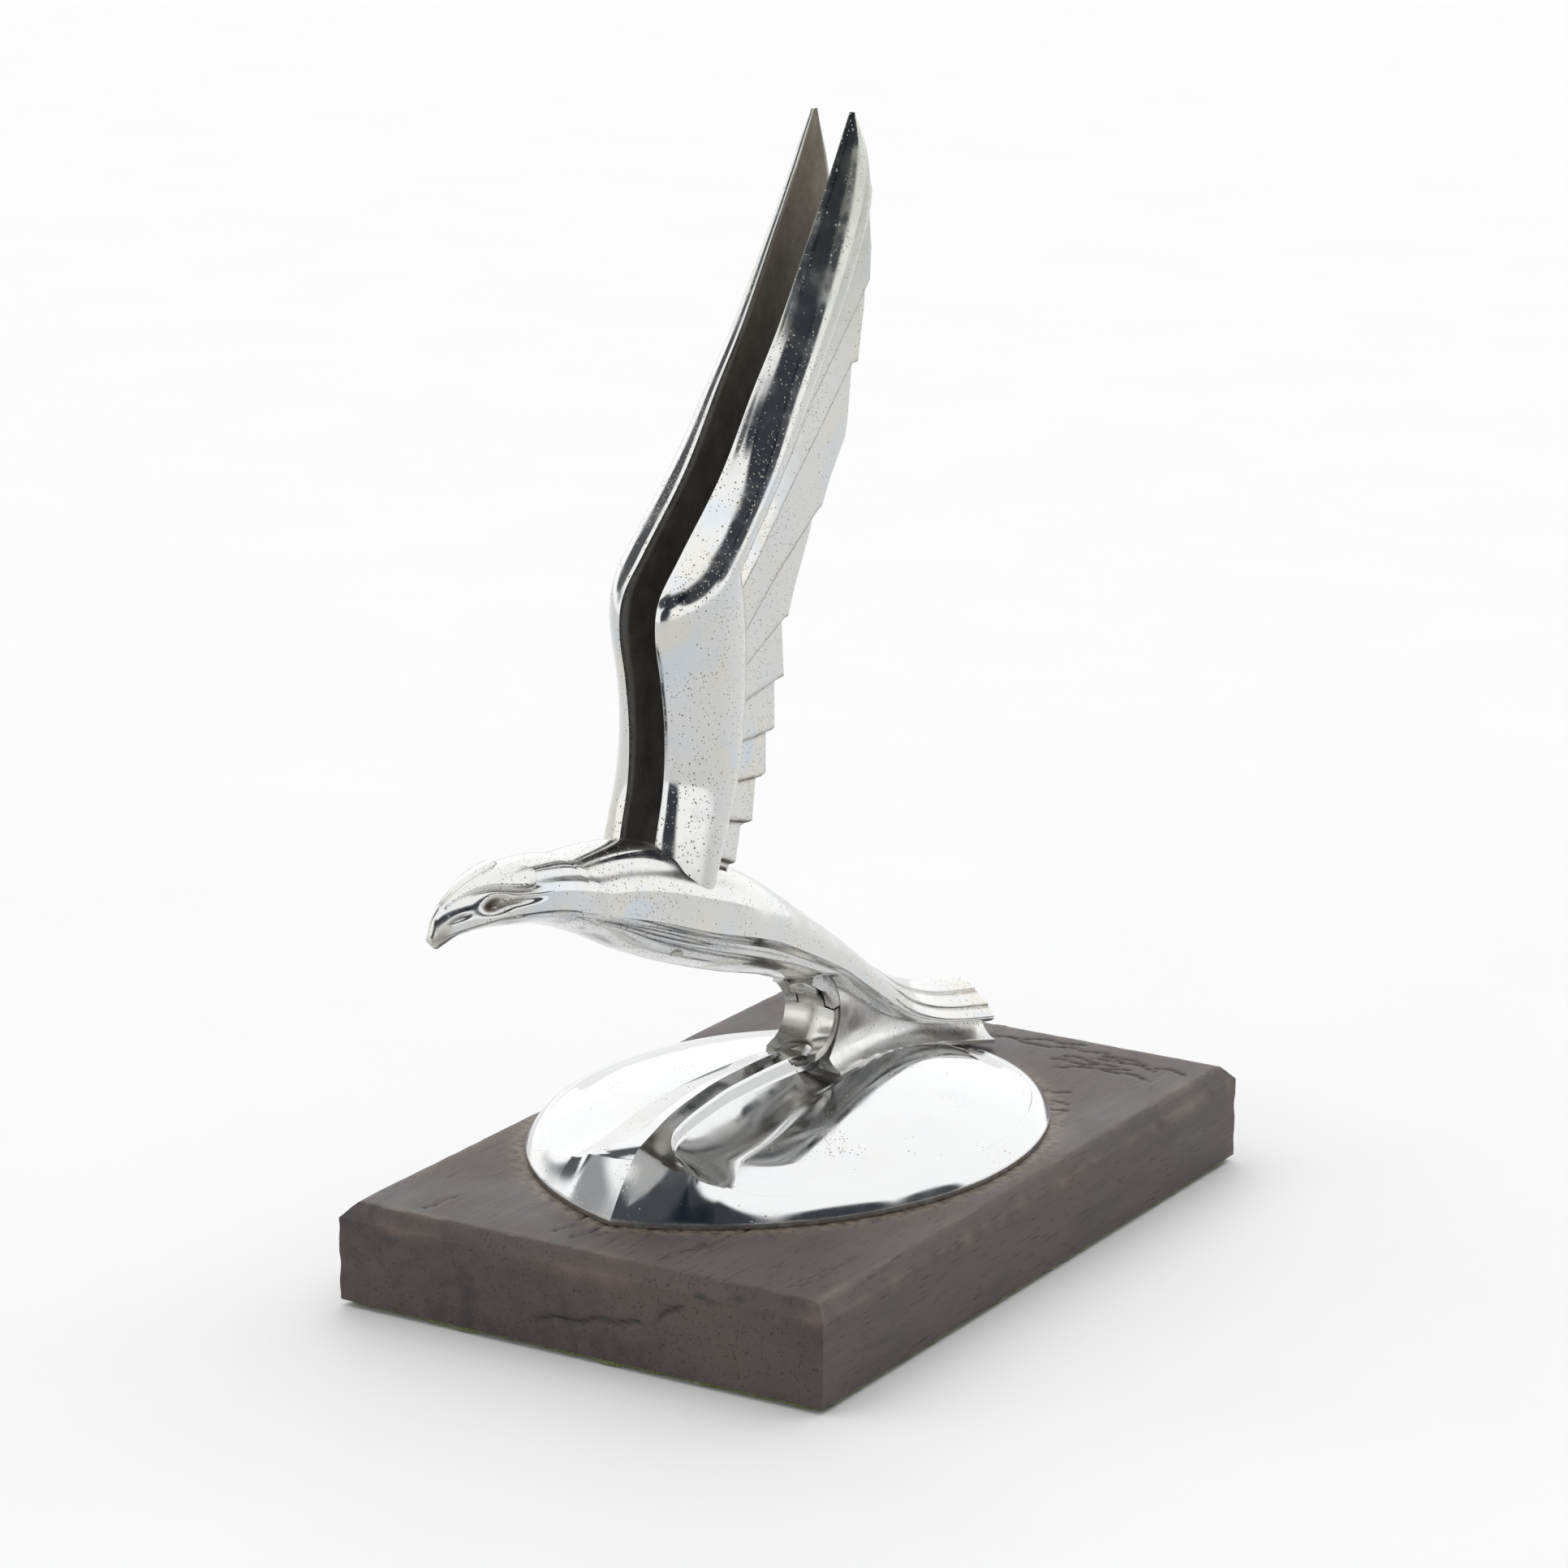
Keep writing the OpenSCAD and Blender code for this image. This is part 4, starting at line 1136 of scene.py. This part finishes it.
def floor_plane(material):
    """Flat floor just under the felt."""
    n = 24
    grid = np.linspace(-FLOOR_HALF_M, FLOOR_HALF_M, n)
    X, Y = np.meshgrid(grid, grid, indexing="ij")
    mesh = bpy.data.meshes.new("floor")
    points = np.stack([X, Y, 0 * X], -1).reshape(-1, 3)
    mesh.from_pydata([tuple(p) for p in points], [],
                     [tuple(int(k) for k in q) for q in sheet_faces(n, n, False)])
    floor = link("floor", mesh)
    mesh.materials.append(material)
    floor.location.z = -FLOOR_DROP_M


CAMERA_PLACE_M = (0.49860, -0.84568, 0.35656)
CAMERA_LENS = 130.43
CAMERA_ANGLES = (30.773, 15.485, 0.5)  # yaw, pitch and roll, in degrees


def camera():
    """Camera off the bird's left front, looking a little down at it."""
    cam = bpy.data.cameras.new("camera")
    cam.sensor_width = 36.0
    cam.lens = CAMERA_LENS
    cam.clip_start = 0.01
    obj = bpy.data.objects.new("camera", cam)
    bpy.context.scene.collection.objects.link(obj)
    yaw, pitch, roll = (math.radians(a) for a in CAMERA_ANGLES)
    ahead = Vector((-math.sin(yaw) * math.cos(pitch), math.cos(yaw) * math.cos(pitch),
                    -math.sin(pitch)))
    right = Vector((math.cos(yaw), math.sin(yaw), 0))
    up = right.cross(ahead)
    right_r = right * math.cos(roll) + up * math.sin(roll)
    up_r = up * math.cos(roll) - right * math.sin(roll)
    turn = Matrix((right_r, up_r, -ahead)).transposed().to_4x4()
    obj.matrix_world = Matrix.Translation(CAMERA_PLACE_M) @ turn
    bpy.context.scene.camera = obj


# ---------- assembly ----------

def dress(piece, body, node, material):
    """Puts a piece on its body and material slot in place of its CAD node."""
    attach(piece, body)
    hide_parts(node)
    piece.data.materials.clear()
    piece.data.materials.append(material)


def repaint(node, material):
    """Gives a carried-over CAD node its material."""
    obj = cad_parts[node]
    obj.data.materials.clear()
    obj.data.materials.append(material)


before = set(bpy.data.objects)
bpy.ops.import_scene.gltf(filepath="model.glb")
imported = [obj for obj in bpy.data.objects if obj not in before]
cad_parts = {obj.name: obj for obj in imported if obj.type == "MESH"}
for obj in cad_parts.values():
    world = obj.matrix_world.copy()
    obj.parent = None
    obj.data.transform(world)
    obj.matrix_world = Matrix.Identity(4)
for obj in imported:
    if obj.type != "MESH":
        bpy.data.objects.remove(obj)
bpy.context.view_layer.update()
bpy.context.scene.view_settings.view_transform = "Standard"

bright = chrome("dome_chrome", 0.25, 0.25)
worn = chrome("bird_chrome", 0.8, 0.8, base=(0.61, 0.61, 0.60))
feathered = chrome("wing_chrome", 0.9, 0.8, base=(0.62, 0.62, 0.61))
cast = chrome("pylon_chrome", 0.6, 0.5, base=(0.70, 0.70, 0.69), smooth=0.13)
grubby = chrome("lever_chrome", 0.6, 0.6, base=(0.58, 0.57, 0.54), smooth=0.09)
steel = plain_metal("plain_steel", (0.52, 0.51, 0.49), (0.34, 0.32, 0.30), 0.34)
brass = plain_metal("aged_brass", (0.60, 0.46, 0.22), (0.34, 0.24, 0.12), 0.36)

dress(eagle_head(), "ornament", "bird_head", worn)
dress(eagle_body(), "ornament", "bird_body", worn)
dress(wing("left_wing", 1), "ornament", "wing_left", feathered)
dress(wing("right_wing", -1), "ornament", "wing_right", feathered)
dress(dome_shell(), "ornament", "dome", bright)
dress(board_block(), "ornament", "wood_block", stained_wood())
dress(felt_sheet(), "ornament", "felt_pad", felt_cloth())
for part in (pylon_web(), pylon_cheek("pylon_cheek_left", 1),
             pylon_cheek("pylon_cheek_right", -1)):
    dress(part, "ornament", "pylon", cast)
for part in (lever_plate(), lever_tongue()):
    dress(part, "lever", "release_lever", grubby)
repaint("cork_gasket", cork_sheet())
for node in ("block_screws", "block_washers", "pylon_screws", "wing_dowels", "guide_screws",
             "return_spring", "hinge_pin", "draw_rod", "rod_collar"):
    repaint(node, steel)
for node in ("guide_plate", "lock_plate", "lock_nut"):
    repaint(node, brass)

soft_world()
floor_plane(pale_floor())
camera()
